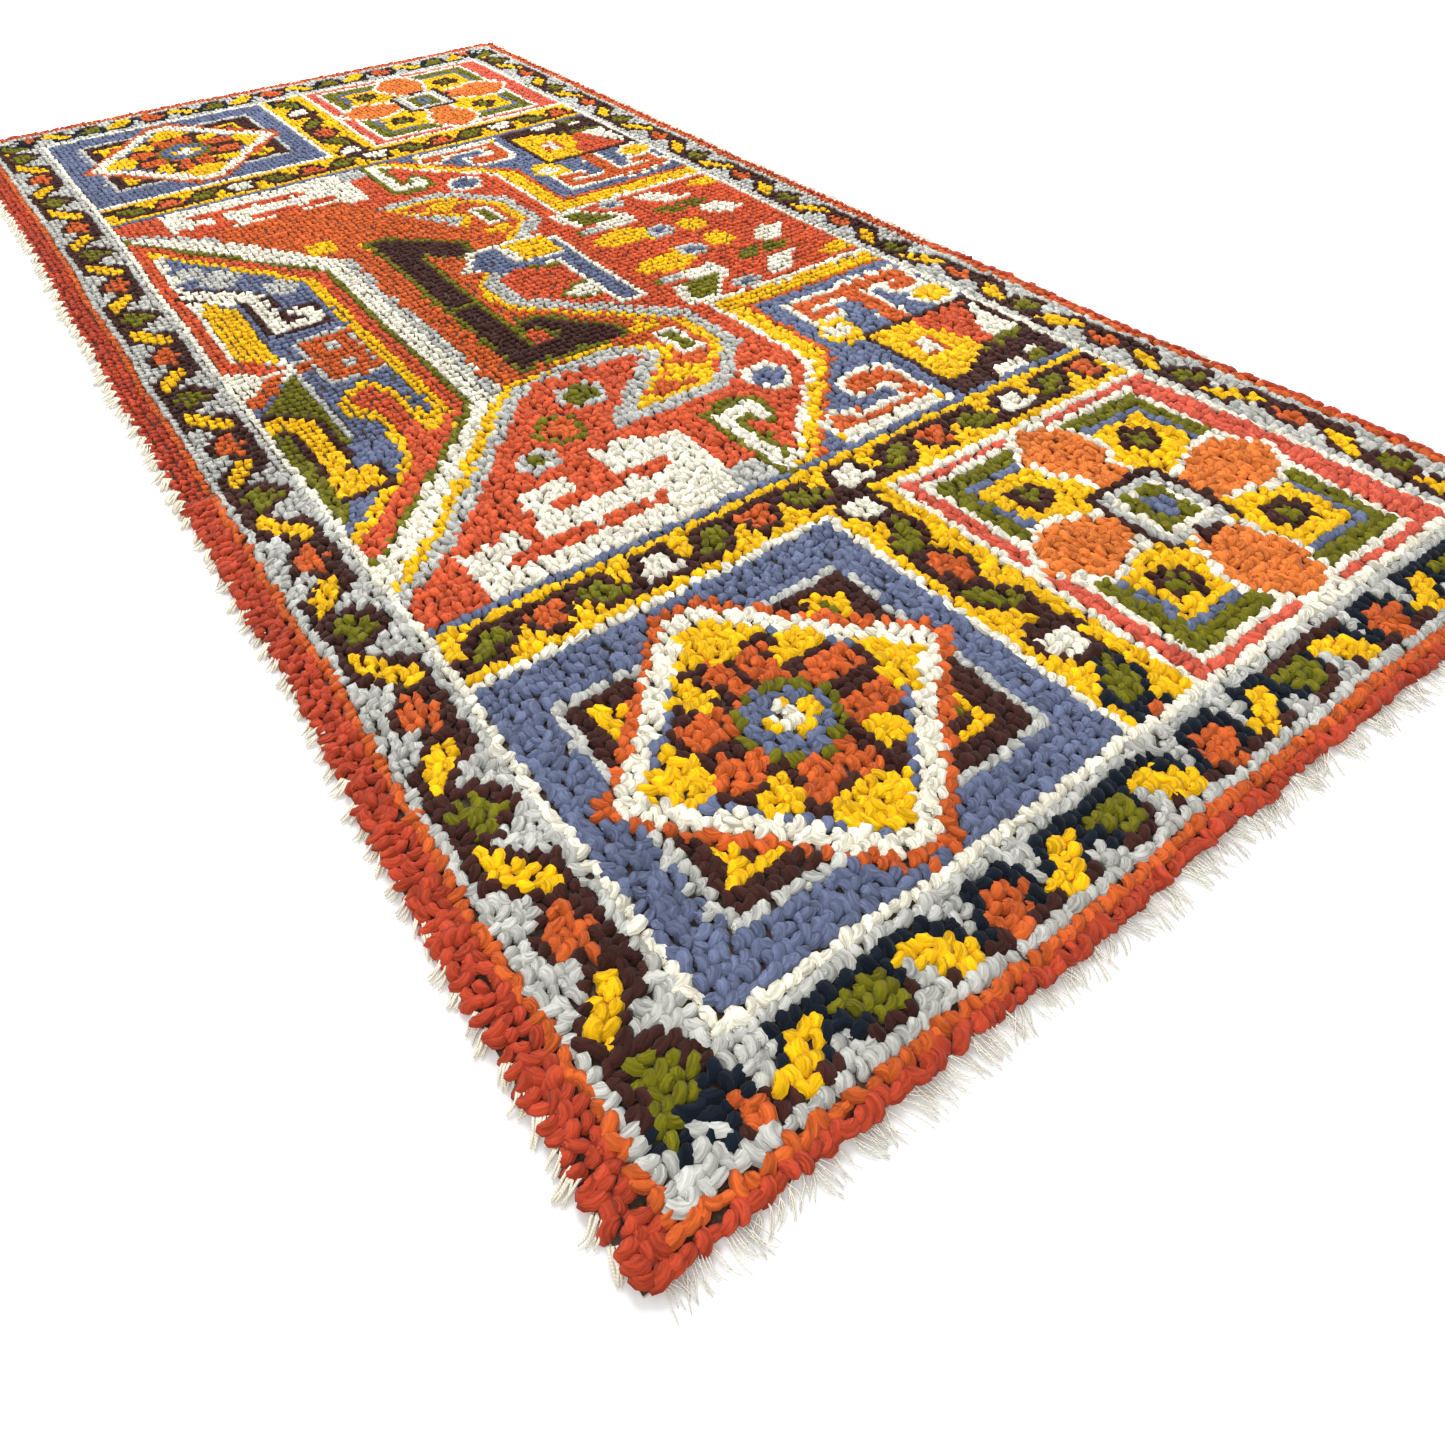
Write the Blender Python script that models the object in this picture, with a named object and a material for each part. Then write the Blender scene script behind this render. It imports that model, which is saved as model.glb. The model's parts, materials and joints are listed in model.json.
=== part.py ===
"""A long, thick-piled Anatolian village rug lying flat, with cut fringes and short weft tufts round its edge.

The rug's middle is at the origin, its length runs along Y with the near end at -Y, and its underside
is on Z = 0. Lengths are in metres.
"""
import math
import random

import bmesh
import bpy
from mathutils import Vector, noise

# The knotted cloth
LENGTH = 2.59             # pile edge to pile edge, along Y
GROUND_EDGE = 0.0035      # height of the bare woven edge under the pile
PILE_TOP = 0.0134         # height of the pile's top
LUMP = 0.0017             # how far a lump of pile rises or sinks
SWELL = 0.0010            # slow unevenness of the whole surface
SWELL_LENGTH = 0.35       # wavelength of that unevenness
LUMP_PITCH = 0.044        # spacing of the lumps
LUMP_DRIFT = 0.10         # sideways drift of a lump, as a share of the spacing
USUAL_WIDTH = 1.25        # the width that sets how many lumps lie side by side
LUMPS_ACROSS = round(USUAL_WIDTH / LUMP_PITCH)
LUMPS_ALONG = round(LENGTH / LUMP_PITCH)

# The sides, measured from the middle line: the rug narrows a little towards its far end.
# Columns: share of the length from the near end, left half's width, right half's width
SIDE_LINE = (
    (0.00, 0.632, 0.632),
    (0.10, 0.629, 0.624),
    (0.27, 0.613, 0.598),
    (0.46, 0.606, 0.590),
    (0.62, 0.598, 0.588),
    (0.76, 0.588, 0.590),
    (1.00, 0.586, 0.592),
)

# The ends. Columns: share of the width from the left side, how far the near end and the far end fall short
END_LINE = (
    (0.00, 0.000, 0.003),
    (0.30, 0.004, 0.000),
    (0.50, 0.014, 0.004),
    (0.70, 0.020, 0.010),
    (1.00, 0.024, 0.006),
)
EDGE_WAVE = 0.0012        # small waviness of every edge
EDGE_WAVES = 9            # waves along each edge

# The pile's rim from the top down. Columns: reach beyond the ground's edge, height, scallop depth
RIM_PROFILE = (
    (0.0030, 0.0116, 0.0010),
    (0.0060, 0.0078, 0.0022),
    (0.0000, GROUND_EDGE, 0.0000),
    (0.0000, 0.0000, 0.0000),
)
CORNER_PULL = 0.0040      # how far the pile's rim draws in at a corner
SURFACE_INSET = 0.0040    # where the pile's top begins to roll over, inside the ground's edge

# The edge strips that hold the fringe and the weft tufts
STRIP_GAP = 0.0004        # parting between the ground's edge and a strip
STRIP_DEPTH = 0.0036      # from the parting outwards
STRIP_HEIGHT = 0.0028     # height of the strip, and of a lock at its root
STRIP_END = 0.012         # how far a strip stops short of the rug's corner

# The cut warp ends at both ends of the rug
FRINGE_LOCKS = 72
FULL_LENGTH_EVERY = 12    # every so many locks, one has the full length
FRINGE_ROOT = 0.0088      # width of a lock at the strip
FRINGE_LENGTH = 0.026
FRINGE_SHORTEST = 0.70    # the shortest lock, as a share of the length
FRINGE_LEAN = 0.0038      # sideways sway of a lock's tip

# The weft tufts along both sides
TUFT_LOCKS = 76
TUFT_ROOT = 0.0185
TUFT_LENGTH = 0.0135
TUFT_SHORTEST = 0.60
TUFT_LEAN = 0.0040

# A lock from its root to its tip.
# Columns: share of its length, share of its root width, share of its root height
FRINGE_SECTIONS = (
    (0.50, 0.92, 0.86),
    (1.00, 0.42, 0.50),
)
TUFT_SECTIONS = (
    (0.62, 0.94, 0.86),
    (1.00, 0.55, 0.58),
)

WOOL_PILE = (0.52, 0.13, 0.045, 1.0)
UNDYED_YARN = (0.80, 0.74, 0.60, 1.0)
SEED = 7
TINY = 1e-5               # lengths and shares under this count as none
DIRECTION_STEP = 0.004    # share of an edge over which its direction is taken


def clear_scene():
    """Removes every object of the open file."""
    for item in list(bpy.data.objects):
        bpy.data.objects.remove(item, do_unlink=True)


def yarn_material(name, colour, roughness):
    """A dull yarn finish."""
    material = bpy.data.materials.new(name)
    material.use_nodes = True
    shader = material.node_tree.nodes["Principled BSDF"]
    shader.inputs["Base Color"].default_value = colour
    shader.inputs["Roughness"].default_value = roughness
    shader.inputs["Metallic"].default_value = 0.0
    return material


def eased(table, share, column):
    """Reads a column of a table at a share, with smooth steps from row to row."""
    for low, high in zip(table, table[1:]):
        if share <= high[0]:
            step = (share - low[0]) / (high[0] - low[0])
            step = step * step * (3.0 - 2.0 * step)
            return low[column] + (high[column] - low[column]) * step
    return table[-1][column]


def edge_wave(share, phase):
    """The small waviness of an edge, none at its corners."""
    swing = math.sin(EDGE_WAVES * math.tau * share + phase) * math.sin(math.pi * share)
    return EDGE_WAVE * swing


def rug_point(across, along):
    """A point of the ground for shares across the width and along the length, each from 0 to 1."""
    left = -eased(SIDE_LINE, along, 1) + edge_wave(along, 0.4)
    right = eased(SIDE_LINE, along, 2) + edge_wave(along, 2.1)
    near = -LENGTH / 2 + eased(END_LINE, across, 1) + edge_wave(across, 1.2)
    far = LENGTH / 2 - eased(END_LINE, across, 2) + edge_wave(across, 3.3)
    return Vector((left + (right - left) * across, near + (far - near) * along, 0.0))


def edge_point(side, share):
    """A point of the ground on one of the rug's four edges, for a share along it."""
    if side == "near":
        return rug_point(share, 0.0)
    if side == "far":
        return rug_point(share, 1.0)
    if side == "left":
        return rug_point(0.0, share)
    return rug_point(1.0, share)


def side_point(side, share):
    """The same on the solid's own edge, which is straight from one lump to the next."""
    steps = LUMPS_ACROSS if side in ("near", "far") else LUMPS_ALONG
    step = min(math.floor(share * steps), steps - 1)
    start = edge_point(side, step / steps)
    return start.lerp(edge_point(side, (step + 1) / steps), share * steps - step)


def side_outward(side, share):
    """The level direction that points away from the rug at an edge."""
    ahead = side_point(side, min(share + DIRECTION_STEP, 1.0))
    run = ahead - side_point(side, max(share - DIRECTION_STEP, 0.0))
    run.normalize()
    turned = Vector((run.y, -run.x, 0.0))
    return turned if side in ("near", "right") else -turned


def rim_outward(across, along):
    """The outward direction at a point of the rim, halfway between both edges at a corner."""
    out = Vector((0.0, 0.0, 0.0))
    if along < TINY:
        out += side_outward("near", across)
    if along > 1.0 - TINY:
        out += side_outward("far", across)
    if across < TINY:
        out += side_outward("left", along)
    if across > 1.0 - TINY:
        out += side_outward("right", along)
    return out


def at_corner(across, along):
    """True at one of the four corners."""
    return min(across, 1.0 - across) < TINY and min(along, 1.0 - along) < TINY


def finished_object(name, mesh_data, material, parts):
    """Turns a bmesh into a named object with faces out, in the collection of parts."""
    bmesh.ops.recalc_face_normals(mesh_data, faces=mesh_data.faces)
    mesh = bpy.data.meshes.new(name)
    mesh_data.to_mesh(mesh)
    mesh_data.free()
    mesh.materials.append(material)
    made = bpy.data.objects.new(name, mesh)
    parts.objects.link(made)
    return made


def lay_pile_surface(mesh_data, across_layer, along_layer, chance):
    """Moves a unit grid's points onto the rug's lumpy top and notes where each one lies."""
    for vert in mesh_data.verts:
        across = vert.co.x + 0.5
        along = vert.co.y + 0.5
        vert[across_layer] = across
        vert[along_layer] = along
        spot = rug_point(across, along)
        inside = 0.0 < across < 1.0 and 0.0 < along < 1.0
        drift = LUMP_PITCH * LUMP_DRIFT
        sway = (chance.uniform(-drift, drift), chance.uniform(-drift, drift))
        lump = Vector((*sway, chance.uniform(-LUMP, LUMP)))
        if not inside:
            spot -= rim_outward(across, along) * SURFACE_INSET
            lump = Vector((0.0, 0.0, min(lump.z, 0.0)))
        spot.z = PILE_TOP + SWELL * noise.noise(spot / SWELL_LENGTH)
        vert.co = spot + lump


def roll_rim(mesh_data, across_layer, along_layer, chance):
    """Extrudes the surface's boundary down the rim's profile and closes the flat underside."""
    ring = [edge for edge in mesh_data.edges if edge.is_boundary]
    for reach, height, scallop in RIM_PROFILE:
        made = bmesh.ops.extrude_edge_only(mesh_data, edges=ring)["geom"]
        ring = [item for item in made if isinstance(item, bmesh.types.BMEdge)]
        for vert in (item for item in made if isinstance(item, bmesh.types.BMVert)):
            across, along = vert[across_layer], vert[along_layer]
            out = reach + chance.uniform(-scallop, scallop)
            if at_corner(across, along) and scallop > 0.0:
                out -= CORNER_PULL
            vert.co = rug_point(across, along) + rim_outward(across, along) * out
            vert.co.z = height
    bmesh.ops.contextual_create(mesh_data, geom=ring)


def rug_solid(material, parts):
    """The knotted cloth: a slab with a lumpy top, a rolled rim and a flat underside."""
    chance = random.Random(SEED)
    mesh_data = bmesh.new()
    across_layer = mesh_data.verts.layers.float.new("across")
    along_layer = mesh_data.verts.layers.float.new("along")
    bmesh.ops.create_grid(mesh_data, x_segments=LUMPS_ACROSS, y_segments=LUMPS_ALONG, size=0.5)
    lay_pile_surface(mesh_data, across_layer, along_layer, chance)
    roll_rim(mesh_data, across_layer, along_layer, chance)
    mesh_data.verts.layers.float.remove(mesh_data.verts.layers.float["along"])
    mesh_data.verts.layers.float.remove(mesh_data.verts.layers.float["across"])
    return finished_object("rug", mesh_data, material, parts)


def strip_stations(length, locks, root):
    """Shares along an edge where the strip's parts begin and end: a plain part, a lock's root, and so on."""
    usable = length - 2 * STRIP_END
    pitch = usable / locks
    places = [STRIP_END]
    for index in range(locks):
        middle = STRIP_END + (index + 0.5) * pitch
        places += [middle - root / 2, middle + root / 2]
    places.append(length - STRIP_END)
    return [place / length for place in places]


def lay_strip(mesh_data, side, stations):
    """Makes the narrow strip along an edge, divided at the stations, standing on the floor."""
    bmesh.ops.create_grid(mesh_data, x_segments=len(stations) - 1, y_segments=1, size=0.5)
    columns = sorted({round(vert.co.x, 5) for vert in mesh_data.verts})
    for vert in mesh_data.verts:
        share = stations[columns.index(round(vert.co.x, 5))]
        out = STRIP_GAP if vert.co.y < 0.0 else STRIP_GAP + STRIP_DEPTH
        vert.co = side_point(side, share) + side_outward(side, share) * out
    raised = bmesh.ops.extrude_face_region(mesh_data, geom=mesh_data.faces[:])["geom"]
    for item in raised:
        if isinstance(item, bmesh.types.BMVert):
            item.co.z = STRIP_HEIGHT


def root_face(mesh_data, middle):
    """The strip's outer face nearest to a point, where a lock grows."""
    upright = [face for face in mesh_data.faces if abs(face.normal.z) < 0.5]
    return min(upright, key=lambda face: (face.calc_center_median() - middle).length)


def grow_lock(mesh_data, face, out, root, length, lean, sections):
    """Extrudes a root face into a lock that lies level on the floor."""
    along = Vector((-out.y, out.x, 0.0))
    foot = face.calc_center_median()
    foot.z = 0.0
    for share, width, height in sections:
        face = bmesh.ops.extrude_discrete_faces(mesh_data, faces=[face])["faces"][0]
        middle = foot + out * length * share + along * lean * share * share
        for vert in face.verts:
            hand = 1.0 if (vert.co - foot).dot(along) > 0.0 else -1.0
            high = vert.co.z > TINY
            vert.co = middle + along * hand * root * width / 2
            vert.co.z = STRIP_HEIGHT * height if high else 0.0


def edge_length(side, steps=200):
    """The length of one of the rug's edges."""
    points = [side_point(side, step / steps) for step in range(steps + 1)]
    return sum((b - a).length for a, b in zip(points, points[1:]))


def fringe_solid(name, side, locks, root, length, shortest, lean, sections, material, parts):
    """A strip along one edge with its locks, one closed body."""
    chance = random.Random(f"{SEED} {name}")
    mesh_data = bmesh.new()
    run = edge_length(side)
    stations = strip_stations(run, locks, root)
    lay_strip(mesh_data, side, stations)
    mesh_data.normal_update()
    for index in range(locks):
        share = (stations[2 * index + 1] + stations[2 * index + 2]) / 2
        out = side_outward(side, share)
        middle = side_point(side, share) + out * (STRIP_GAP + STRIP_DEPTH)
        middle.z = STRIP_HEIGHT / 2
        face = root_face(mesh_data, middle)
        full = index % FULL_LENGTH_EVERY == FULL_LENGTH_EVERY // 2
        reach = length * (1.0 if full else chance.uniform(shortest, 1.0))
        grow_lock(mesh_data, face, out, root, reach, chance.uniform(-lean, lean), sections)
    return finished_object(name, mesh_data, material, parts)


def main():
    """Builds the rug and the pieces round its edge."""
    clear_scene()
    parts = bpy.data.collections.new("oushak_rug")
    bpy.context.scene.collection.children.link(parts)
    rug_solid(yarn_material("wool_pile", WOOL_PILE, 0.92), parts)
    warp = yarn_material("warp_yarn", UNDYED_YARN, 0.88)
    weft = yarn_material("weft_yarn", UNDYED_YARN, 0.90)
    for side in ("near", "far"):
        fringe_solid(f"fringe_{side}", side, FRINGE_LOCKS, FRINGE_ROOT, FRINGE_LENGTH, FRINGE_SHORTEST,
                     FRINGE_LEAN, FRINGE_SECTIONS, warp, parts)
    for side in ("left", "right"):
        fringe_solid(f"weft_tufts_{side}", side, TUFT_LOCKS, TUFT_ROOT, TUFT_LENGTH, TUFT_SHORTEST,
                     TUFT_LEAN, TUFT_SECTIONS, weft, parts)


main()
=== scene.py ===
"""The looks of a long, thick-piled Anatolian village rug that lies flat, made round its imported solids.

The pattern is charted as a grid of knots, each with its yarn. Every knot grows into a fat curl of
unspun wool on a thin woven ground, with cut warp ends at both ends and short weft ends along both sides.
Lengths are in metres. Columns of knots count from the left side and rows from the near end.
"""

import json
import logging
import math
from dataclasses import dataclass, field
from enum import Enum
from typing import Any, Sequence

import bpy
import numpy as np
from mathutils import Matrix, Vector

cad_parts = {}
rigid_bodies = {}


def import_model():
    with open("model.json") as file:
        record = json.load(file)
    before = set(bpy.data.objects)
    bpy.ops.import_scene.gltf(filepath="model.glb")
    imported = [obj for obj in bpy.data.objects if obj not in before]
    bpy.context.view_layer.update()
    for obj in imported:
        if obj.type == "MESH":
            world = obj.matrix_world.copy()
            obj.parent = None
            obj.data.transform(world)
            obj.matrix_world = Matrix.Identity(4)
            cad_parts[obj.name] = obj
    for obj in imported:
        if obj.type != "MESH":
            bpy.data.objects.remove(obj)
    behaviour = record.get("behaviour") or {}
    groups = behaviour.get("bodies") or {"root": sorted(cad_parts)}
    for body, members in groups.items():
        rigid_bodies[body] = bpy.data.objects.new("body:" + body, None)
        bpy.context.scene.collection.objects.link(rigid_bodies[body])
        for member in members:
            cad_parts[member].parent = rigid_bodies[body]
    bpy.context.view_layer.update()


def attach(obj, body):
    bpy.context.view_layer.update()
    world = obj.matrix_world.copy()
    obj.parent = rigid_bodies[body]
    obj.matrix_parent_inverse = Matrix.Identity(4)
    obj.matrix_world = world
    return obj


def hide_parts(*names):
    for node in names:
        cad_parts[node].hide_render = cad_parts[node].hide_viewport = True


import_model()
log = logging.getLogger("rug")

MM = 0.001
Point = tuple[float, float]
Colour = tuple[float, float, float, float]


def linear_colour(code: str) -> Colour:
    """Turns an sRGB hex colour into a linear one.

    Args:
        code: The colour as "#RRGGBB".

    Returns:
        Red, green, blue and an alpha of one.
    """
    parts = [int(code[place:place + 2], 16) / 255 for place in (1, 3, 5)]
    made = [part / 12.92 if part <= 0.04045 else ((part + 0.055) / 1.055) ** 2.4 for part in parts]
    return made[0], made[1], made[2], 1.0


class Yarn(Enum):
    """The pile's yarns: the letter that stands for each in a chart, and its colour."""

    BRICK = ("r", "#B8442A")      # madder red of the outer edge
    ORANGE = ("o", "#CC5E28")     # orange of the ribbons
    GREY = ("g", "#BFBFB8")       # undyed silver-grey
    CREAM = ("w", "#F4EEDA")      # undyed cream
    SLATE = ("s", "#666F8C")      # faded indigo
    BROWN = ("b", "#41221C")      # dark walnut brown
    NAVY = ("n", "#111A26")       # deep indigo, nearly black
    OLIVE = ("v", "#706C10")      # weld over indigo
    YELLOW = ("y", "#FAC00C")     # strong weld yellow
    FIELD = ("f", "#D15730")      # lighter madder red of the field
    CORAL = ("c", "#D85F48")      # pinker madder red of a panel's band
    ROUND = ("u", "#E07A34")      # soft orange of the panel's rounds

    @property
    def letter(self) -> str:
        """The letter of this yarn in a chart."""
        return self.value[0]

    @property
    def colour(self) -> Colour:
        """The linear colour of this yarn."""
        return linear_colour(self.value[1])


YARNS = list(Yarn)
BY_LETTER = {yarn.letter: number for number, yarn in enumerate(YARNS)}


class Side(Enum):
    """The rug's four edges."""

    NEAR = "near"
    FAR = "far"
    LEFT = "left"
    RIGHT = "right"


@dataclass(frozen=True)
class RugShape:
    """The outline of the woven ground, the same as the solid's."""

    length: float = 2.59
    ground: float = 0.0035        # thickness of the woven ground
    edge_wave: float = 0.0012     # small waviness of every edge
    edge_waves: int = 9
    # Columns: share of the length from the near end, left half's width, right half's width
    side_line: tuple[tuple[float, float, float], ...] = (
        (0.00, 0.632, 0.632),
        (0.10, 0.629, 0.624),
        (0.27, 0.613, 0.598),
        (0.46, 0.606, 0.590),
        (0.62, 0.598, 0.588),
        (0.76, 0.588, 0.590),
        (1.00, 0.586, 0.592),
    )
    # Columns: share of the width from the left side, shortfall at the near end and at the far end
    end_line: tuple[tuple[float, float, float], ...] = (
        (0.00, 0.000, 0.003),
        (0.30, 0.004, 0.000),
        (0.50, 0.014, 0.004),
        (0.70, 0.020, 0.010),
        (1.00, 0.024, 0.006),
    )

    @staticmethod
    def eased(table: Sequence[Sequence[float]], share: np.ndarray, column: int) -> np.ndarray:
        """Reads a column of a table with smooth steps from row to row.

        Args:
            table: Rows that begin with their share.
            share: Where to read, from 0 to 1.
            column: Which column to read.

        Returns:
            The value at each share.
        """
        read = np.full(np.shape(share), float(table[-1][column]))
        for low, high in reversed(list(zip(table, table[1:]))):
            step = np.clip((share - low[0]) / (high[0] - low[0]), 0.0, 1.0)
            step = step * step * (3.0 - 2.0 * step)
            read = np.where(share <= high[0], low[column] + (high[column] - low[column]) * step, read)
        return read

    def wave(self, share: np.ndarray, phase: float) -> np.ndarray:
        """The small waviness of an edge, none at its corners."""
        return self.edge_wave * np.sin(self.edge_waves * math.tau * share + phase) * np.sin(np.pi * share)

    def points(self, across: np.ndarray, along: np.ndarray) -> np.ndarray:
        """Places of the ground for shares across the width and along the length.

        Args:
            across: Shares from the left side.
            along: Shares from the near end.

        Returns:
            One row of X and Y for each share.
        """
        across, along = np.asarray(across, float), np.asarray(along, float)
        left = -self.eased(self.side_line, along, 1) + self.wave(along, 0.4)
        right = self.eased(self.side_line, along, 2) + self.wave(along, 2.1)
        near = -self.length / 2 + self.eased(self.end_line, across, 1) + self.wave(across, 1.2)
        far = self.length / 2 - self.eased(self.end_line, across, 2) + self.wave(across, 3.3)
        return np.stack([left + (right - left) * across, near + (far - near) * along], axis=-1)

    def edge(self, side: Side, share: np.ndarray) -> np.ndarray:
        """Places along one edge of the ground."""
        fixed = np.full(np.shape(share), 1.0 if side in (Side.FAR, Side.RIGHT) else 0.0)
        if side in (Side.NEAR, Side.FAR):
            return self.points(share, fixed)
        return self.points(fixed, share)

    def outward(self, side: Side, share: np.ndarray, step: float = 0.004) -> np.ndarray:
        """The level directions that point away from the rug along an edge."""
        run = self.edge(side, np.minimum(share + step, 1.0)) - self.edge(side, np.maximum(share - step, 0.0))
        run /= np.linalg.norm(run, axis=-1, keepdims=True)
        turned = np.stack([run[..., 1], -run[..., 0]], axis=-1)
        return turned if side in (Side.NEAR, Side.RIGHT) else -turned


@dataclass
class KnotPlan:
    """The knotter's chart: which yarn each knot is tied with."""

    columns: int = 124
    rows: int = 214
    stray: float = 0.12           # how far a knot strays from a drawn line, in knots
    seed: int = 11
    knots: np.ndarray = field(init=False)
    across: np.ndarray = field(init=False)    # each knot's column, with its stray
    along: np.ndarray = field(init=False)     # each knot's row, with its stray

    def __post_init__(self) -> None:
        """Starts with a plain field and a fixed stray for every knot."""
        chance = np.random.default_rng(self.seed)
        self.knots = np.full((self.rows, self.columns), YARNS.index(Yarn.FIELD))
        row, column = np.mgrid[0:self.rows, 0:self.columns] + 0.5
        self.across = column + chance.uniform(-self.stray, self.stray, column.shape)
        self.along = row + chance.uniform(-self.stray, self.stray, row.shape)

    def tie(self, yarn: Yarn, chosen: np.ndarray) -> None:
        """Ties the chosen knots with a yarn."""
        self.knots[chosen] = YARNS.index(yarn)

    def box(self, yarn: Yarn, left: float, near: float, right: float, far: float) -> None:
        """Fills an upright rectangle."""
        wide = (self.across >= left) & (self.across < right)
        self.tie(yarn, wide & (self.along >= near) & (self.along < far))

    def exact(self, yarn: Yarn, left: int, near: int, right: int, far: int) -> None:
        """Fills whole knots from the first column and row up to the last, which stay as they are."""
        self.knots[near:far, left:right] = YARNS.index(yarn)

    def shape(self, yarn: Yarn, *corners: Point) -> None:
        """Fills an outline that is given by its corners."""
        inside = np.zeros(self.knots.shape, bool)
        for (x0, y0), (x1, y1) in zip(corners, corners[1:] + corners[:1]):
            if y0 == y1:
                continue
            crosses = (y0 > self.along) != (y1 > self.along)
            inside ^= crosses & (self.across < (x1 - x0) * (self.along - y0) / (y1 - y0) + x0)
        self.tie(yarn, inside)

    def line(self, yarn: Yarn, width: float, *corners: Point) -> None:
        """Draws a line of some width through its corners."""
        for (x0, y0), (x1, y1) in zip(corners, corners[1:]):
            run = (x1 - x0) ** 2 + (y1 - y0) ** 2
            share = np.clip(((self.across - x0) * (x1 - x0) + (self.along - y0) * (y1 - y0)) / run, 0.0, 1.0)
            off = np.hypot(self.across - x0 - share * (x1 - x0), self.along - y0 - share * (y1 - y0))
            self.tie(yarn, off <= width / 2)

    def disc(self, yarn: Yarn, column: float, row: float, wide: float, long: float) -> None:
        """Fills a round spot with half sizes across and along."""
        self.tie(yarn, ((self.across - column) / wide) ** 2 + ((self.along - row) / long) ** 2 <= 1.0)

    def repeat_up(self, chart: Sequence[str], column: int, rows: range, start: float,
                  period: float | None = None) -> None:
        """Repeats a chart along the rug's length.

        Args:
            chart: Lines of letters, far row first.
            column: The chart's first column.
            rows: The rows to fill.
            start: The row on which a repeat begins.
            period: Rows in one repeat, by default the chart's own.
        """
        lines = [line.replace(" ", "") for line in reversed(chart)]
        pace = len(lines) / (period or len(lines))
        for row in rows:
            line = lines[math.floor((row + 0.5 - start) * pace) % len(lines)]
            self.knots[row, column:column + len(line)] = [BY_LETTER[letter] for letter in line]

    def repeat_across(self, chart: Sequence[str], columns: range, row: int, start: int) -> None:
        """Repeats a chart across the rug's width.

        Args:
            chart: Lines of letters, far row first.
            columns: The columns to fill.
            row: The chart's nearest row.
            start: A column on which a repeat begins.
        """
        for up, line in enumerate(reversed(chart)):
            letters = line.replace(" ", "")
            for column in columns:
                self.knots[row + up, column] = BY_LETTER[letters[(column - start) % len(letters)]]

    def mirror_far_half(self) -> None:
        """Repeats the near half in the far half, turned over end for end."""
        half = self.rows // 2
        self.knots[self.rows - half:] = self.knots[:half][::-1]

    def colours(self) -> np.ndarray:
        """The linear colour of every knot."""
        return np.array([yarn.colour for yarn in YARNS])[self.knots]


# The first column and row of each part of the pattern, and the first beyond it
INNER_LEFT, INNER_RIGHT = 14, 113
PANEL_NEAR, PANEL_FAR = 10, 44
RIBBON_NEAR, RIBBON_FAR = 45, 52
FIELD_NEAR, FIELD_MIDDLE = 53, 108
PANELS_PARTED = (59, 69)

# Charts, far row first. One letter is one knot, and a space parts two motifs.
SIDE_RIBBON = (
    "gbbvvbbgg",
    "gbbbbgggg",
    "gbybggggg",
    "gbyybgggg",
    "gbyyybbgg",
    "gbbyyybbg",
    "gggbyyybg",
    "ggggbyybg",
    "ggggbbbbg",
    "gggboobbg",
    "ggbooobbg",
    "ggboooobg",
    "ggbooobbg",
    "ggggbobbg",
    "ggggbbbbg",
    "gggbyybbg",
    "ggbyyybbg",
    "gbyyybbgg",
    "gbyybgggg",
    "gbybggggg",
    "gbbbbbggg",
    "gbbvvbbgg",
    "gbvvvvbbg",
    "gbbvvvvbg",
)
END_RIBBON = (
    "nnnnnnn nnnnngg gnnnnng ggnnnn",
    "nvvvvvn yyyynng gnooonn ggnyyy",
    "nnvvvvn gyyyyng nooooon gnyyyn",
    "gnnvvvb ggyyyyn noooonn yyyyng",
    "ggbbbbg ggbyyyb bboobbb byybbg",
)
CORNER_RIBBON = (
    "gbbvvvvbgg",
    "gbvvvvnngg",
    "gnvvnnnnng",
    "gnvngnnong",
    "ggngngnoob",
    "gggggnboob",
    "gggggggggg",
)
CROSS_RIBBON = (
    "yybbbbb bbbbbbb bbbbbyy ybbbbby",
    "ybbvvvb booooob bvvvbyy bbwwwby",
    "ybvvvvb yboooby bvvvvby bwwwwby",
    "bvvvbby yboooby ybvvvvb bwwwwwb",
    "bbbbbyy yybbbyy yybbbbb bbbbbbb",
)
MIDDLE_RIBBON = (
    "bbbbbbb",
    "bwwwwbb",
    "bwwwwby",
    "ybwwwby",
    "yybbbby",
    "yyybvby",
    "yybvvby",
    "ybvvvby",
    "bvvvvby",
    "bvvvbyy",
    "bbbbyyy",
    "bboobyy",
    "booooby",
    "booooby",
    "bboooby",
    "bboobyy",
    "bbbbyyy",
    "bvvbyyy",
    "bvvvbyy",
    "ybvvvby",
    "yybvvby",
    "yyybbby",
    "yyyybby",
    "ybbbbby",
)


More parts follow.
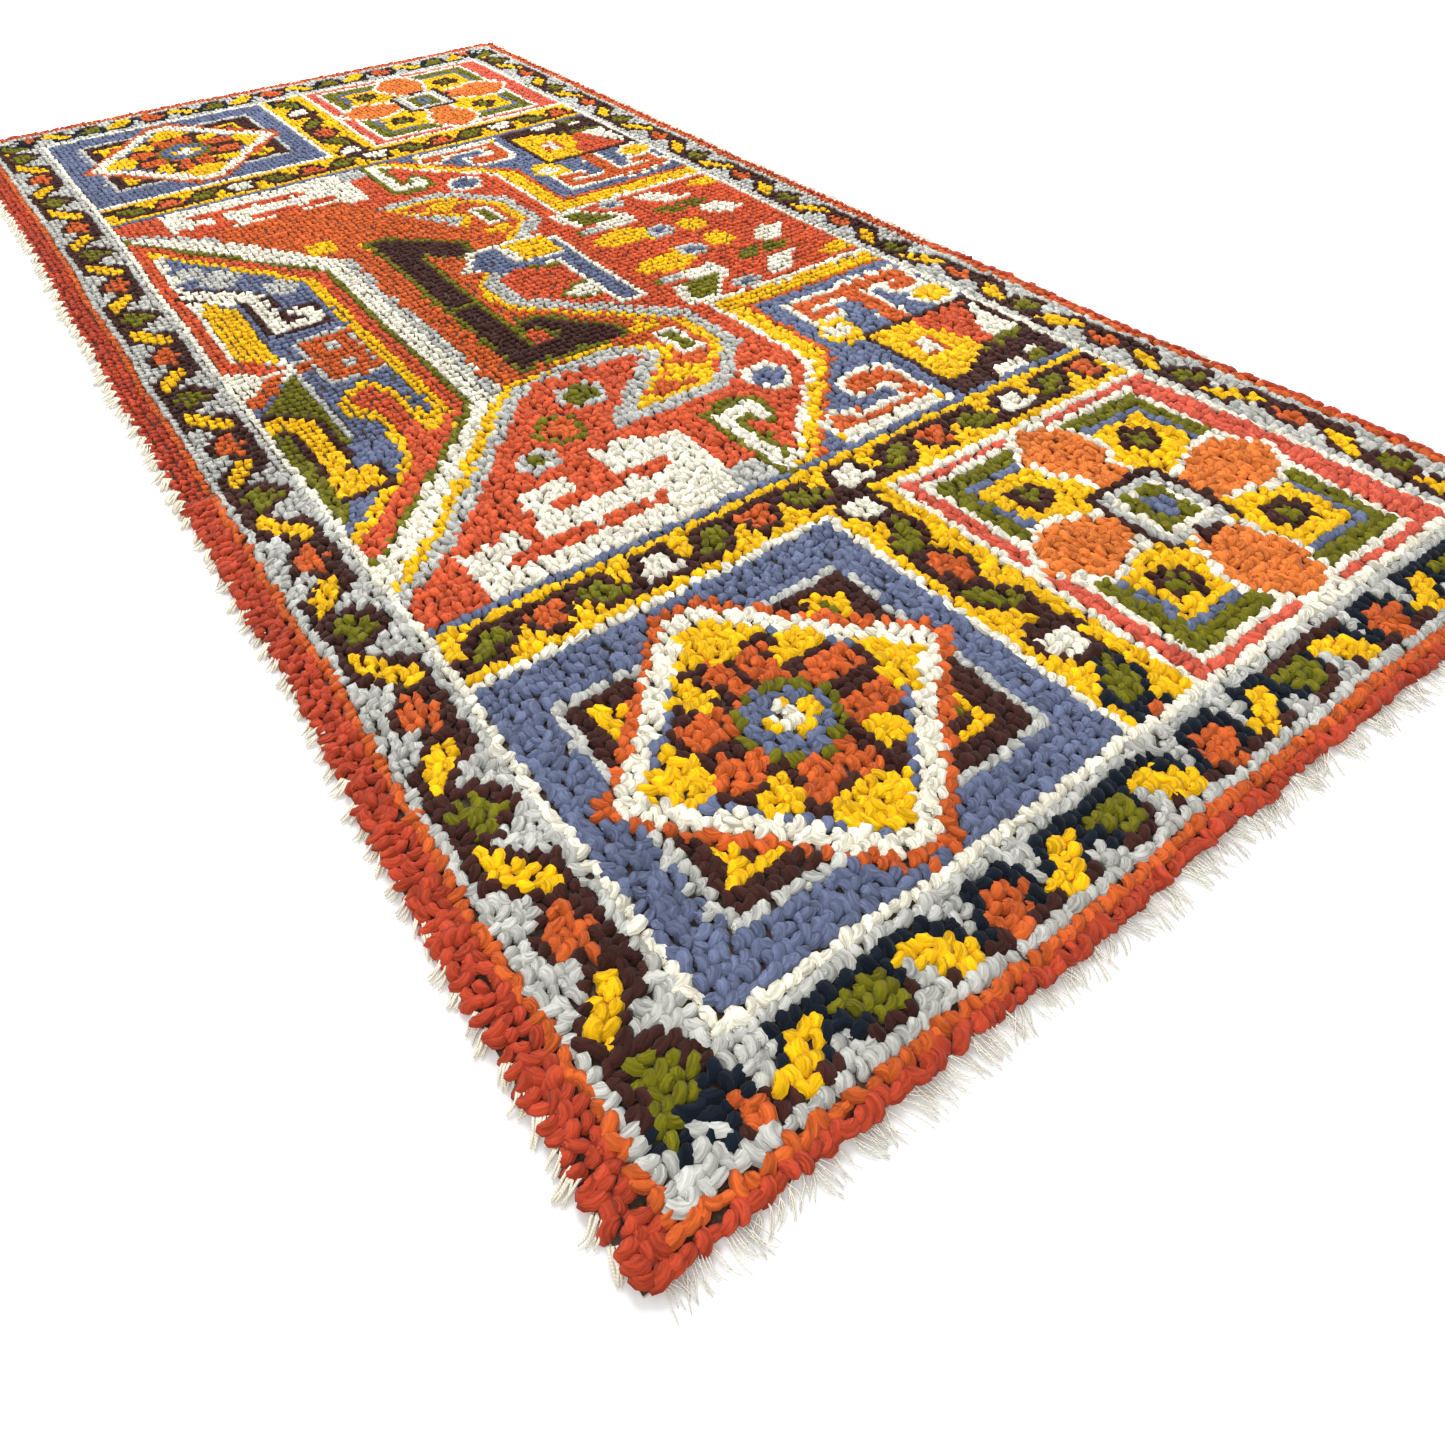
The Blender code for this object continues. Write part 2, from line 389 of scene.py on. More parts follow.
@dataclass(frozen=True)
class Borders:
    """The outer red edge and the ribbons of slanting leaves inside it."""

    side_start: int = 8           # row on which the left ribbon's repeat begins
    right_start: float = 16.5     # the same for the right ribbon, whose repeat is shorter
    right_period: float = 23.0
    end_start: int = 20           # column on which the near ribbon's repeat begins
    left_column: int = 4
    right_column: int = 114
    frame_row: int = 9            # row of the cream line inside the near ribbon
    brown_run: tuple[int, int] = (75, 87)     # columns where the near ribbon's outline is tied in brown

    def tie_near(self, plan: KnotPlan) -> None:
        """Ties the near border, all but its corners."""
        plan.exact(Yarn.BRICK, 0, 0, plan.columns, 1)
        plan.exact(Yarn.ORANGE, 0, 1, plan.columns, 2)
        plan.exact(Yarn.GREY, self.left_column, 2, plan.columns - 2, self.frame_row)
        plan.repeat_across(END_RIBBON, range(INNER_LEFT, INNER_RIGHT), 3, self.end_start)
        plan.box(Yarn.BROWN, self.brown_run[0], 7, self.brown_run[1], 8)
        plan.exact(Yarn.CREAM, INNER_LEFT - 1, self.frame_row, INNER_RIGHT + 1, PANEL_NEAR)

    def tie_sides(self, plan: KnotPlan) -> None:
        """Ties both side borders along the whole length."""
        rows = range(self.frame_row, plan.rows - self.frame_row)
        plan.exact(Yarn.BRICK, 0, 0, 3, plan.rows)
        plan.exact(Yarn.ORANGE, 3, 2, 4, plan.rows - 2)
        plan.exact(Yarn.GREY, self.left_column, 2, self.left_column + 1, plan.rows - 2)
        plan.repeat_up(SIDE_RIBBON, self.left_column, rows, self.side_start)
        plan.box(Yarn.ORANGE, 3.0, 6, 4.15, plan.rows - 6)
        plan.exact(Yarn.CREAM, INNER_LEFT - 1, rows.start, INNER_LEFT, rows.stop)
        narrow = [line[:5] + line[6:] for line in SIDE_RIBBON]
        plan.exact(Yarn.GREY, self.right_column, 2, plan.columns - 2, plan.rows - 2)
        plan.repeat_up(narrow, self.right_column, rows, self.right_start, self.right_period)
        plan.exact(Yarn.CREAM, INNER_RIGHT, rows.start, INNER_RIGHT + 1, rows.stop)
        plan.exact(Yarn.ORANGE, plan.columns - 2, 1, plan.columns - 1, plan.rows - 1)
        plan.exact(Yarn.BRICK, plan.columns - 1, 0, plan.columns, plan.rows)

    def tie_corners(self, plan: KnotPlan) -> None:
        """Ties the four corners of the ribbons."""
        for up, line in enumerate(reversed(CORNER_RIBBON)):
            knots = [BY_LETTER[letter] for letter in line]
            for row in (2 + up, plan.rows - 3 - up):
                plan.knots[row, self.left_column:self.left_column + len(knots)] = knots
                plan.knots[row, plan.columns - 2 - len(knots):plan.columns - 2] = knots[::-1]


@dataclass(frozen=True)
class CrossBorders:
    """The yellow-ground ribbons: one across the rug, and one between the two panels."""

    start: int = 15               # column on which the cross ribbon's repeat begins
    middle: int = 61              # first column of the ribbon between the panels
    middle_start: int = 22        # row on which its repeat begins
    deep_rows: tuple[int, int] = (10, 17)     # its rows that are outlined in navy

    def tie(self, plan: KnotPlan) -> None:
        """Ties the ribbons and the lines that frame them."""
        plan.exact(Yarn.CREAM, INNER_LEFT - 1, PANEL_FAR, INNER_RIGHT + 1, RIBBON_NEAR)
        plan.exact(Yarn.YELLOW, PANELS_PARTED[0], PANEL_NEAR, PANELS_PARTED[1], RIBBON_NEAR)
        for column in PANELS_PARTED:
            plan.exact(Yarn.CREAM, column, PANEL_NEAR - 1, column + 1, RIBBON_NEAR)
        plan.repeat_up(MIDDLE_RIBBON, self.middle, range(PANEL_NEAR, RIBBON_NEAR + 1), self.middle_start)
        outlined = plan.knots[slice(*self.deep_rows), self.middle:self.middle + len(MIDDLE_RIBBON[0])]
        outlined[outlined == YARNS.index(Yarn.BROWN)] = YARNS.index(Yarn.NAVY)
        plan.exact(Yarn.YELLOW, INNER_LEFT, RIBBON_NEAR, INNER_RIGHT, RIBBON_FAR)
        plan.repeat_across(CROSS_RIBBON, range(INNER_LEFT, INNER_RIGHT), RIBBON_NEAR + 1, self.start)
        plan.exact(Yarn.BROWN, self.middle + 1, RIBBON_NEAR, self.middle + 6, RIBBON_NEAR + 1)
        plan.exact(Yarn.SLATE, INNER_LEFT, RIBBON_FAR, INNER_RIGHT, FIELD_NEAR)


@dataclass(frozen=True)
class DiamondPanel:
    """The slate panel: a diamond round a flower of eight petals."""

    middle: Point = (36.5, 27.0)

    def diamond(self, plan: KnotPlan, yarn: Yarn, wide: float, long: float, flat: float = 2.0) -> None:
        """Fills a diamond whose upper and lower tips are cut flat."""
        x, y = self.middle
        plan.shape(yarn, (x - wide, y), (x - flat, y + long), (x + flat, y + long), (x + wide, y),
                   (x + flat, y - long), (x - flat, y - long))

    def tie(self, plan: KnotPlan) -> None:
        """Ties the whole panel."""
        plan.exact(Yarn.SLATE, INNER_LEFT, PANEL_NEAR, PANELS_PARTED[0], PANEL_FAR)
        plan.box(Yarn.GREY, 18.6, 14.2, 54.6, 39.2)
        plan.box(Yarn.BROWN, 19.8, 15.3, 53.6, 38.3)
        self.tie_corners(plan)
        self.diamond(plan, Yarn.ORANGE, 20.7, 16.5)
        self.diamond(plan, Yarn.CREAM, 18.9, 15.2)
        self.diamond(plan, Yarn.SLATE, 15.8, 12.9, 1.4)
        self.diamond(plan, Yarn.BROWN, 14.6, 12.0, 1.2)
        self.tie_flower(plan)

    @staticmethod
    def tie_corners(plan: KnotPlan) -> None:
        """Ties the small bent motifs in the four corners."""
        yellow, olive, orange = Yarn.YELLOW, Yarn.OLIVE, Yarn.ORANGE
        plan.box(yellow, 22.3, 32.2, 24.0, 36.8)
        plan.box(yellow, 22.3, 35.2, 27.4, 36.4)
        plan.box(olive, 24.0, 33.6, 26.2, 35.2)
        plan.box(orange, 24.0, 32.2, 27.0, 33.6)
        plan.box(yellow, 22.3, 17.6, 24.0, 22.2)
        plan.box(yellow, 21.4, 17.3, 27.2, 18.4)
        plan.box(olive, 24.0, 18.5, 25.9, 20.6)
        plan.shape(yellow, (46.4, 35.6), (48.4, 36.9), (52.0, 36.2), (52.0, 34.8), (50.6, 34.0),
                   (51.8, 32.6), (50.4, 32.2), (49.4, 34.0))
        plan.box(olive, 48.2, 34.2, 50.4, 35.5)
        plan.box(orange, 47.2, 33.2, 49.4, 34.2)
        plan.box(yellow, 46.6, 17.2, 51.4, 18.4)
        plan.box(yellow, 49.8, 17.6, 51.4, 21.2)
        plan.box(olive, 47.2, 18.6, 49.8, 20.0)
        plan.box(orange, 47.6, 20.2, 50.0, 21.2)

    @staticmethod
    def tie_flower(plan: KnotPlan) -> None:
        """Ties the petals, the yellow points round them and the star in the middle."""
        yellow, orange = Yarn.YELLOW, Yarn.ORANGE
        points = (
            ((31.5, 36.2), (34.6, 39.8), (39.0, 39.8), (42.3, 36.6), (39.4, 35.6), (36.8, 34.6),
             (34.2, 36.2)),
            ((33.0, 16.6), (31.5, 17.6), (35.4, 19.2), (37.2, 19.6), (41.0, 17.4), (38.6, 14.6),
             (35.4, 14.4)),
            ((20.6, 27.0), (25.0, 30.5), (26.4, 29.6), (25.8, 28.0), (27.4, 26.6), (26.2, 24.0),
             (24.6, 23.6)),
            ((53.0, 26.6), (48.6, 30.6), (47.2, 30.2), (47.9, 27.8), (46.3, 25.6), (48.4, 23.4)),
            ((28.0, 33.0), (30.6, 35.6), (31.6, 34.8), (32.9, 32.2), (31.6, 31.2), (30.2, 31.4)),
            ((40.2, 32.0), (42.6, 35.6), (44.0, 35.2), (46.2, 32.8), (43.0, 31.4)),
            ((27.2, 20.7), (30.4, 22.8), (32.4, 22.4), (32.0, 20.6), (31.2, 18.8), (29.6, 19.6)),
            ((40.1, 22.2), (43.0, 22.9), (45.9, 20.8), (43.2, 19.5), (41.4, 20.4)),
        )
        petals = (
            ((32.6, 34.2), (34.2, 35.6), (36.0, 35.4), (36.2, 32.0), (34.6, 30.4), (33.6, 31.8),
             (33.6, 33.4)),
            ((36.9, 33.0), (37.6, 35.4), (40.4, 35.6), (40.8, 34.2), (39.6, 33.4), (39.8, 30.2),
             (37.2, 30.4)),
            ((31.7, 19.0), (31.9, 20.4), (33.2, 21.4), (33.0, 23.2), (35.4, 22.6), (35.9, 20.4),
             (35.0, 18.7)),
            ((36.3, 20.2), (36.7, 22.6), (40.2, 23.4), (39.4, 21.6), (40.6, 19.2), (38.6, 18.5)),
            ((26.8, 31.2), (30.8, 31.3), (32.2, 30.2), (35.2, 31.2), (34.4, 29.4), (31.6, 27.4),
             (27.0, 28.4)),
            ((28.6, 26.7), (31.4, 25.6), (32.6, 24.6), (31.0, 23.6), (29.4, 22.6), (26.4, 23.2),
             (26.4, 25.2)),
            ((40.2, 29.8), (43.4, 31.3), (47.0, 31.2), (46.8, 28.6), (44.0, 27.8), (41.4, 28.0)),
            ((41.2, 26.2), (44.8, 26.4), (46.9, 25.4), (46.6, 22.8), (44.0, 22.4), (41.2, 23.2),
             (40.2, 24.6)),
        )
        for corners in points:
            plan.shape(yellow, *corners)
        for corners in petals:
            plan.shape(orange, *corners)
        plan.disc(Yarn.OLIVE, 36.5, 26.8, 5.2, 4.4)
        plan.disc(Yarn.SLATE, 36.5, 26.9, 4.3, 3.6)
        plan.box(yellow, 33.6, 26.0, 39.8, 27.9)
        plan.box(yellow, 35.6, 24.6, 38.0, 29.4)
        plan.box(Yarn.CREAM, 35.0, 26.2, 38.2, 28.0)
        plan.box(Yarn.CREAM, 36.0, 25.6, 37.4, 28.8)


@dataclass(frozen=True)
class RoundsPanel:
    """The olive and yellow panel with four orange rounds about a square."""

    def tie(self, plan: KnotPlan) -> None:
        """Ties the whole panel."""
        plan.exact(Yarn.CREAM, PANELS_PARTED[1], PANEL_NEAR - 1, INNER_RIGHT + 1, RIBBON_NEAR)
        plan.exact(Yarn.CORAL, PANELS_PARTED[1] + 1, PANEL_NEAR, INNER_RIGHT, PANEL_FAR)
        plan.exact(Yarn.CREAM, 72, 11, 109, 43)
        plan.box(Yarn.OLIVE, 73.0, 11.8, 108.3, 42.0)
        plan.box(Yarn.SLATE, 75.5, 13.8, 105.7, 40.1)
        plan.box(Yarn.YELLOW, 76.5, 14.7, 104.7, 39.2)
        self.tie_rounds(plan)
        self.tie_flowers(plan)
        plan.box(Yarn.BROWN, 83.9, 21.5, 96.4, 32.3)
        plan.box(Yarn.GREY, 84.9, 22.4, 95.4, 31.3)
        plan.box(Yarn.CREAM, 86.0, 23.3, 94.2, 30.4)
        plan.box(Yarn.OLIVE, 87.2, 24.2, 93.0, 29.6)
        plan.box(Yarn.SLATE, 88.7, 25.4, 91.6, 28.5)

    @staticmethod
    def tie_rounds(plan: KnotPlan) -> None:
        """Ties the four rounds, each with a cream line round it."""
        rounds = (
            ((88.4, 43.4), (93.0, 43.4), (95.2, 39.6), (94.8, 37.0), (93.2, 34.4), (92.6, 32.0),
             (88.4, 32.0), (87.8, 34.4), (86.0, 36.8), (85.4, 39.4)),
            ((88.6, 10.6), (92.6, 10.6), (95.0, 14.4), (94.8, 17.4), (93.0, 21.6), (88.2, 21.6),
             (85.4, 17.4), (85.2, 14.6)),
            ((70.8, 26.6), (74.0, 30.2), (77.6, 31.1), (80.8, 30.0), (83.9, 28.8), (83.9, 24.6),
             (80.6, 24.2), (77.4, 22.6), (74.0, 24.2)),
            ((110.2, 27.0), (107.6, 30.4), (103.4, 31.2), (99.4, 29.6), (96.4, 28.8), (96.4, 24.6),
             (100.0, 23.9), (104.2, 22.8), (108.4, 24.6)),
        )
        for corners in rounds:
            plan.line(Yarn.CREAM, 2.0, *corners, corners[0])
        for corners in rounds:
            plan.shape(Yarn.ROUND, *corners)

    @staticmethod
    def tie_flowers(plan: KnotPlan) -> None:
        """Ties the four small flowers on the yellow."""
        for column, row in ((80.5, 35.3), (100.0, 35.4), (80.7, 18.4), (99.8, 19.0)):
            plan.disc(Yarn.BROWN, column, row, 2.7, 2.2)
            plan.disc(Yarn.OLIVE, column, row, 1.3, 1.1)


@dataclass(frozen=True)
class FieldNear:
    """The near half of the red field: the comb, the big arms and the slate corner with its horned motif."""

    def tie(self, plan: KnotPlan) -> None:
        """Ties everything between the cross border and the middle row."""
        self.tie_grounds(plan)
        self.tie_comb(plan)
        self.tie_hook_and_spots(plan)
        self.tie_arms(plan)
        self.tie_bracket(plan)
        self.tie_small_motifs(plan)
        self.tie_slate_corner(plan)

    @staticmethod
    def tie_grounds(plan: KnotPlan) -> None:
        """Ties the cream, yellow and grey bands that slant up from the left."""
        plan.box(Yarn.FIELD, INNER_LEFT, FIELD_NEAR, INNER_RIGHT, FIELD_MIDDLE)
        plan.shape(Yarn.CREAM, (13, 53), (13, 108), (44.4, 108), (44.4, 84.6), (22, 64), (13, 57.2))
        plan.line(Yarn.YELLOW, 1.5, (13.4, 59.2), (17, 61.2), (22.4, 65.2), (28, 70), (33, 75), (39, 80.4),
                  (45, 85.6))
        plan.shape(Yarn.GREY, (13, 56.6), (13, 58.6), (17, 60.4), (22.4, 64.4), (28.2, 69.2), (33.2, 74.2),
                   (39.2, 79.6), (45.6, 85.0), (47.6, 84.0), (42, 79.4), (36, 74.4), (30, 68.4), (22, 61.8))
        plan.shape(Yarn.FIELD, (13, 53), (13, 56.6), (22, 61.4), (30, 68.0), (38, 75.8), (46.7, 83.4),
                   (62, 83.4), (66, 78), (66, 53))

    @staticmethod
    def tie_comb(plan: KnotPlan) -> None:
        """Ties the cream comb near the cross border."""
        cream, red = Yarn.CREAM, Yarn.FIELD
        plan.box(cream, 22.0, 53.0, 61.4, 60.5)
        plan.box(red, 30.0, 57.4, 32.5, 61.0)
        plan.box(cream, 32.5, 57.4, 57.3, 66.3)
        plan.box(cream, 45.0, 63.5, 52.6, 68.5)
        plan.box(red, 57.3, 57.2, 61.5, 61.0)
        plan.box(red, 26.4, 56.2, 47.4, 57.6)
        plan.box(red, 37.4, 61.4, 52.2, 63.1)
        plan.box(red, 40.4, 62.0, 44.9, 67.0)
        plan.box(red, 36.4, 61.4, 40.4, 62.6)
        plan.box(Yarn.GREY, 56.2, 53.0, 61.2, 57.1)

    @staticmethod
    def tie_hook_and_spots(plan: KnotPlan) -> None:
        """Ties the cream hook with its olive outline and the round spots."""
        hook = ((63.1, 54.6), (63.1, 65.2), (67.9, 65.2), (67.9, 63.5))
        plan.line(Yarn.OLIVE, 4.7, *hook)
        plan.line(Yarn.CREAM, 2.6, *hook)
        plan.box(Yarn.OLIVE, 64.4, 62.8, 66.6, 64.0)
        plan.disc(Yarn.GREY, 39.0, 70.2, 2.7, 2.3)
        plan.disc(Yarn.OLIVE, 39.0, 70.2, 1.5, 1.2)
        plan.disc(Yarn.OLIVE, 44.7, 74.0, 3.5, 3.0)
        plan.disc(Yarn.ORANGE, 44.7, 74.0, 2.5, 2.1)
        plan.disc(Yarn.GREY, 51.6, 78.6, 3.5, 2.9)
        plan.disc(Yarn.OLIVE, 51.6, 78.6, 2.5, 2.0)
        plan.disc(Yarn.CREAM, 74.4, 69.1, 3.5, 2.9)
        plan.disc(Yarn.SLATE, 74.4, 69.1, 2.3, 1.9)

    @staticmethod
    def tie_arms(plan: KnotPlan) -> None:
        """Ties the big orange figure in the middle with its yellow and grey outlines."""
        outer = ((45.0, 84.9), (62.6, 84.4), (65.6, 81.6), (52.0, 71.0), (68.2, 71.0), (77.0, 78.4),
                 (77.0, 88.0), (58.6, 103.4), (58.4, 108.0))
        plan.line(Yarn.GREY, 2.3, *outer)
        plan.shape(Yarn.YELLOW, (43.6, 85.0), (62.2, 86.2), (67.4, 81.6), (55.6, 72.0), (67.2, 72.0),
                   (75.6, 79.0), (75.6, 87.6), (57.0, 103.0), (56.8, 108.0), (43.6, 108.0))
        plan.shape(Yarn.ORANGE, (43.6, 85.6), (62.4, 87.2), (69.4, 81.6), (58.2, 73.0), (66.6, 73.0),
                   (74.4, 79.4), (74.4, 87.2), (55.6, 102.6), (55.6, 108.0), (43.6, 108.0))
        plan.disc(Yarn.YELLOW, 66.0, 75.8, 2.6, 1.9)
        plan.disc(Yarn.YELLOW, 69.4, 88.2, 2.3, 1.5)
        plan.box(Yarn.CREAM, 69.0, 78.8, 73.3, 86.0)
        plan.box(Yarn.OLIVE, 70.3, 79.8, 72.2, 84.9)

    @staticmethod
    def tie_bracket(plan: KnotPlan) -> None:
        """Ties the dark bracket that runs up the middle of the field."""
        bracket = ((48.6, 88.4), (66.0, 88.4), (66.2, 90.0), (61.6, 95.0), (58.2, 98.4), (55.6, 98.5),
                   (54.8, 96.3), (57.2, 95.4), (58.8, 93.2), (57.4, 91.7), (52.9, 91.7), (52.9, 109.0),
                   (48.6, 109.0))
        plan.line(Yarn.OLIVE, 2.0, *bracket, bracket[0])
        plan.box(Yarn.FIELD, 53.8, 92.4, 56.8, 95.4)
        plan.shape(Yarn.BROWN, *bracket)

    @staticmethod
    def tie_small_motifs(plan: KnotPlan) -> None:
        """Ties the loose motifs scattered over the red ground beyond the figure."""
        cream, olive, slate, grey, yellow = Yarn.CREAM, Yarn.OLIVE, Yarn.SLATE, Yarn.GREY, Yarn.YELLOW
        plan.shape(olive, (64.6, 101.4), (68.8, 104.2), (71.2, 104.0), (71.2, 98.6), (68.0, 98.6))
        plan.shape(cream, (65.8, 101.4), (69.0, 103.4), (70.8, 103.2), (70.8, 99.5), (68.4, 99.6))
        plan.box(cream, 71.0, 94.8, 76.2, 108.0)
        plan.box(slate, 72.0, 95.6, 75.0, 108.0)
        plan.shape(yellow, (79.0, 101.0), (81.4, 104.4), (88.6, 104.4), (90.0, 100.6), (86.2, 98.4),
                   (83.0, 98.8))
        plan.shape(olive, (78.6, 96.0), (79.6, 98.8), (81.0, 98.2), (80.4, 95.8))
        plan.box(grey, 80.2, 96.0, 83.6, 98.2)
        plan.shape(cream, (78.6, 90.0), (80.4, 94.8), (90.6, 96.2), (90.6, 94.6), (84.8, 89.0), (80.0, 88.6))
        plan.shape(olive, (80.4, 90.6), (82.2, 94.6), (89.6, 95.0), (84.6, 89.8))
        plan.box(cream, 83.8, 95.2, 91.2, 98.4)
        for column, row in ((91.0, 90.5), (91.4, 103.0)):
            plan.disc(grey, column, row, 2.6, 2.1)
            plan.disc(slate, column, row, 1.3, 1.1)
        plan.shape(olive, (94.2, 96.2), (96.6, 98.4), (100.8, 98.8), (99.2, 95.8))
        plan.shape(cream, (94.8, 90.6), (99.4, 90.0), (105.6, 95.4), (100.0, 95.4))
        plan.shape(yellow, (106.8, 91.2), (109.4, 92.6), (113.0, 92.6), (113.0, 90.0), (109.0, 89.8))
        plan.shape(olive, (100.0, 96.2), (104.6, 96.0), (106.4, 98.2), (102.0, 98.8))
        plan.shape(cream, (101.0, 99.6), (106.4, 99.2), (110.8, 103.2), (105.6, 103.6))
        plan.disc(yellow, 97.4, 103.6, 3.0, 2.2)

    def tie_slate_corner(self, plan: KnotPlan) -> None:
        """Ties the slate corner at the right with everything in it."""
        outline = ((62.6, 53.0), (81.2, 69.0), (81.2, 88.6), (113, 88.6), (113, 53.0))
        plan.shape(Yarn.CREAM, *outline)
        plan.shape(Yarn.YELLOW, (63.8, 53.0), (82.3, 68.6), (82.3, 87.6), (113, 87.6), (113, 53.0))
        plan.shape(Yarn.ORANGE, (66.4, 53.0), (85.2, 69.2), (85.2, 85.3), (113, 85.3), (113, 53.0))
        plan.shape(Yarn.SLATE, (67.8, 53.0), (86.3, 69.2), (86.3, 84.3), (113, 84.3), (113, 53.0))
        self.tie_horns(plan)
        self.tie_spiral(plan)
        self.tie_square(plan)

    @staticmethod
    def tie_horns(plan: KnotPlan) -> None:
        """Ties the orange motif with two bent horns and the two yellow fruits beside it."""
        trunk = ((100.7, 69.0), (100.7, 79.6))
        left = ((100.7, 79.8), (90.8, 79.8), (90.8, 77.2), (94.4, 77.2))
        right = ((101.6, 80.4), (110.4, 80.4), (110.4, 77.3), (106.8, 77.3))
        for yarn, width in ((Yarn.CREAM, 4.3), (Yarn.ORANGE, 2.2)):
            for run in (trunk, left, right):
                plan.line(yarn, width, *run)
        plan.line(Yarn.ORANGE, 3.0, *trunk)
        plan.shape(Yarn.YELLOW, (86.8, 72.2), (90.0, 75.6), (93.4, 75.0), (94.4, 72.6), (92.2, 69.4),
                   (89.4, 69.4))
        plan.disc(Yarn.CREAM, 90.6, 72.3, 2.1, 1.6)
        plan.disc(Yarn.CREAM, 110.0, 73.0, 3.8, 2.9)
        plan.disc(Yarn.YELLOW, 110.0, 73.0, 2.9, 2.2)

    @staticmethod
    def tie_spiral(plan: KnotPlan) -> None:
        """Ties the square orange spiral at the foot of the slate corner."""
        plan.box(Yarn.CREAM, 72.0, 53.0, 91.0, 54.0)
        plan.box(Yarn.YELLOW, 72.4, 53.8, 90.4, 55.2)
        spiral = ((74.0, 56.4), (88.0, 56.4), (88.0, 61.6), (82.2, 61.6), (82.2, 60.4))
        plan.line(Yarn.CREAM, 4.3, *spiral)
        plan.line(Yarn.ORANGE, 2.2, *spiral)
        plan.line(Yarn.CREAM, 1.1, (78.0, 56.6), (86.0, 56.6))
        plan.box(Yarn.SLATE, 78.6, 57.2, 85.4, 59.0)

    @staticmethod
    def tie_square(plan: KnotPlan) -> None:
        """Ties the square that is parted into a yellow, a red and a cream piece."""
        plan.box(Yarn.BROWN, 91.8, 53.0, 113.4, 69.8)
        plan.shape(Yarn.YELLOW, (93.0, 68.7), (101.2, 68.7), (101.0, 66.0), (103.2, 64.6), (102.4, 62.6),
                   (105.2, 60.2), (102.4, 58.6), (99.4, 57.2), (96.4, 55.6), (93.0, 55.6))
        plan.shape(Yarn.FIELD, (101.2, 68.7), (111.2, 68.7), (107.4, 62.0), (106.0, 59.6), (104.4, 60.6),
                   (102.4, 62.6), (103.2, 64.6), (101.0, 66.0))
        plan.shape(Yarn.CREAM, (111.2, 68.4), (112.0, 68.4), (112.0, 59.3), (106.2, 59.3), (107.4, 62.0))
        plan.box(Yarn.ORANGE, 96.2, 61.2, 99.8, 65.2)
        plan.box(Yarn.CREAM, 96.6, 61.6, 99.0, 64.7)
        plan.shape(Yarn.OLIVE, (102.0, 58.5), (104.6, 59.6), (112.2, 59.6), (112.2, 58.6))
        plan.shape(Yarn.CREAM, (98.0, 53.2), (101.2, 55.4), (105.0, 55.2), (105.0, 53.2))
        plan.box(Yarn.CREAM, 107.4, 53.6, 110.4, 56.1)
        plan.shape(Yarn.OLIVE, (105.8, 53.2), (107.0, 55.0), (110.0, 55.2), (109.0, 53.2))
        plan.box(Yarn.BROWN, 112.2, 56.0, 113.4, 69.6)


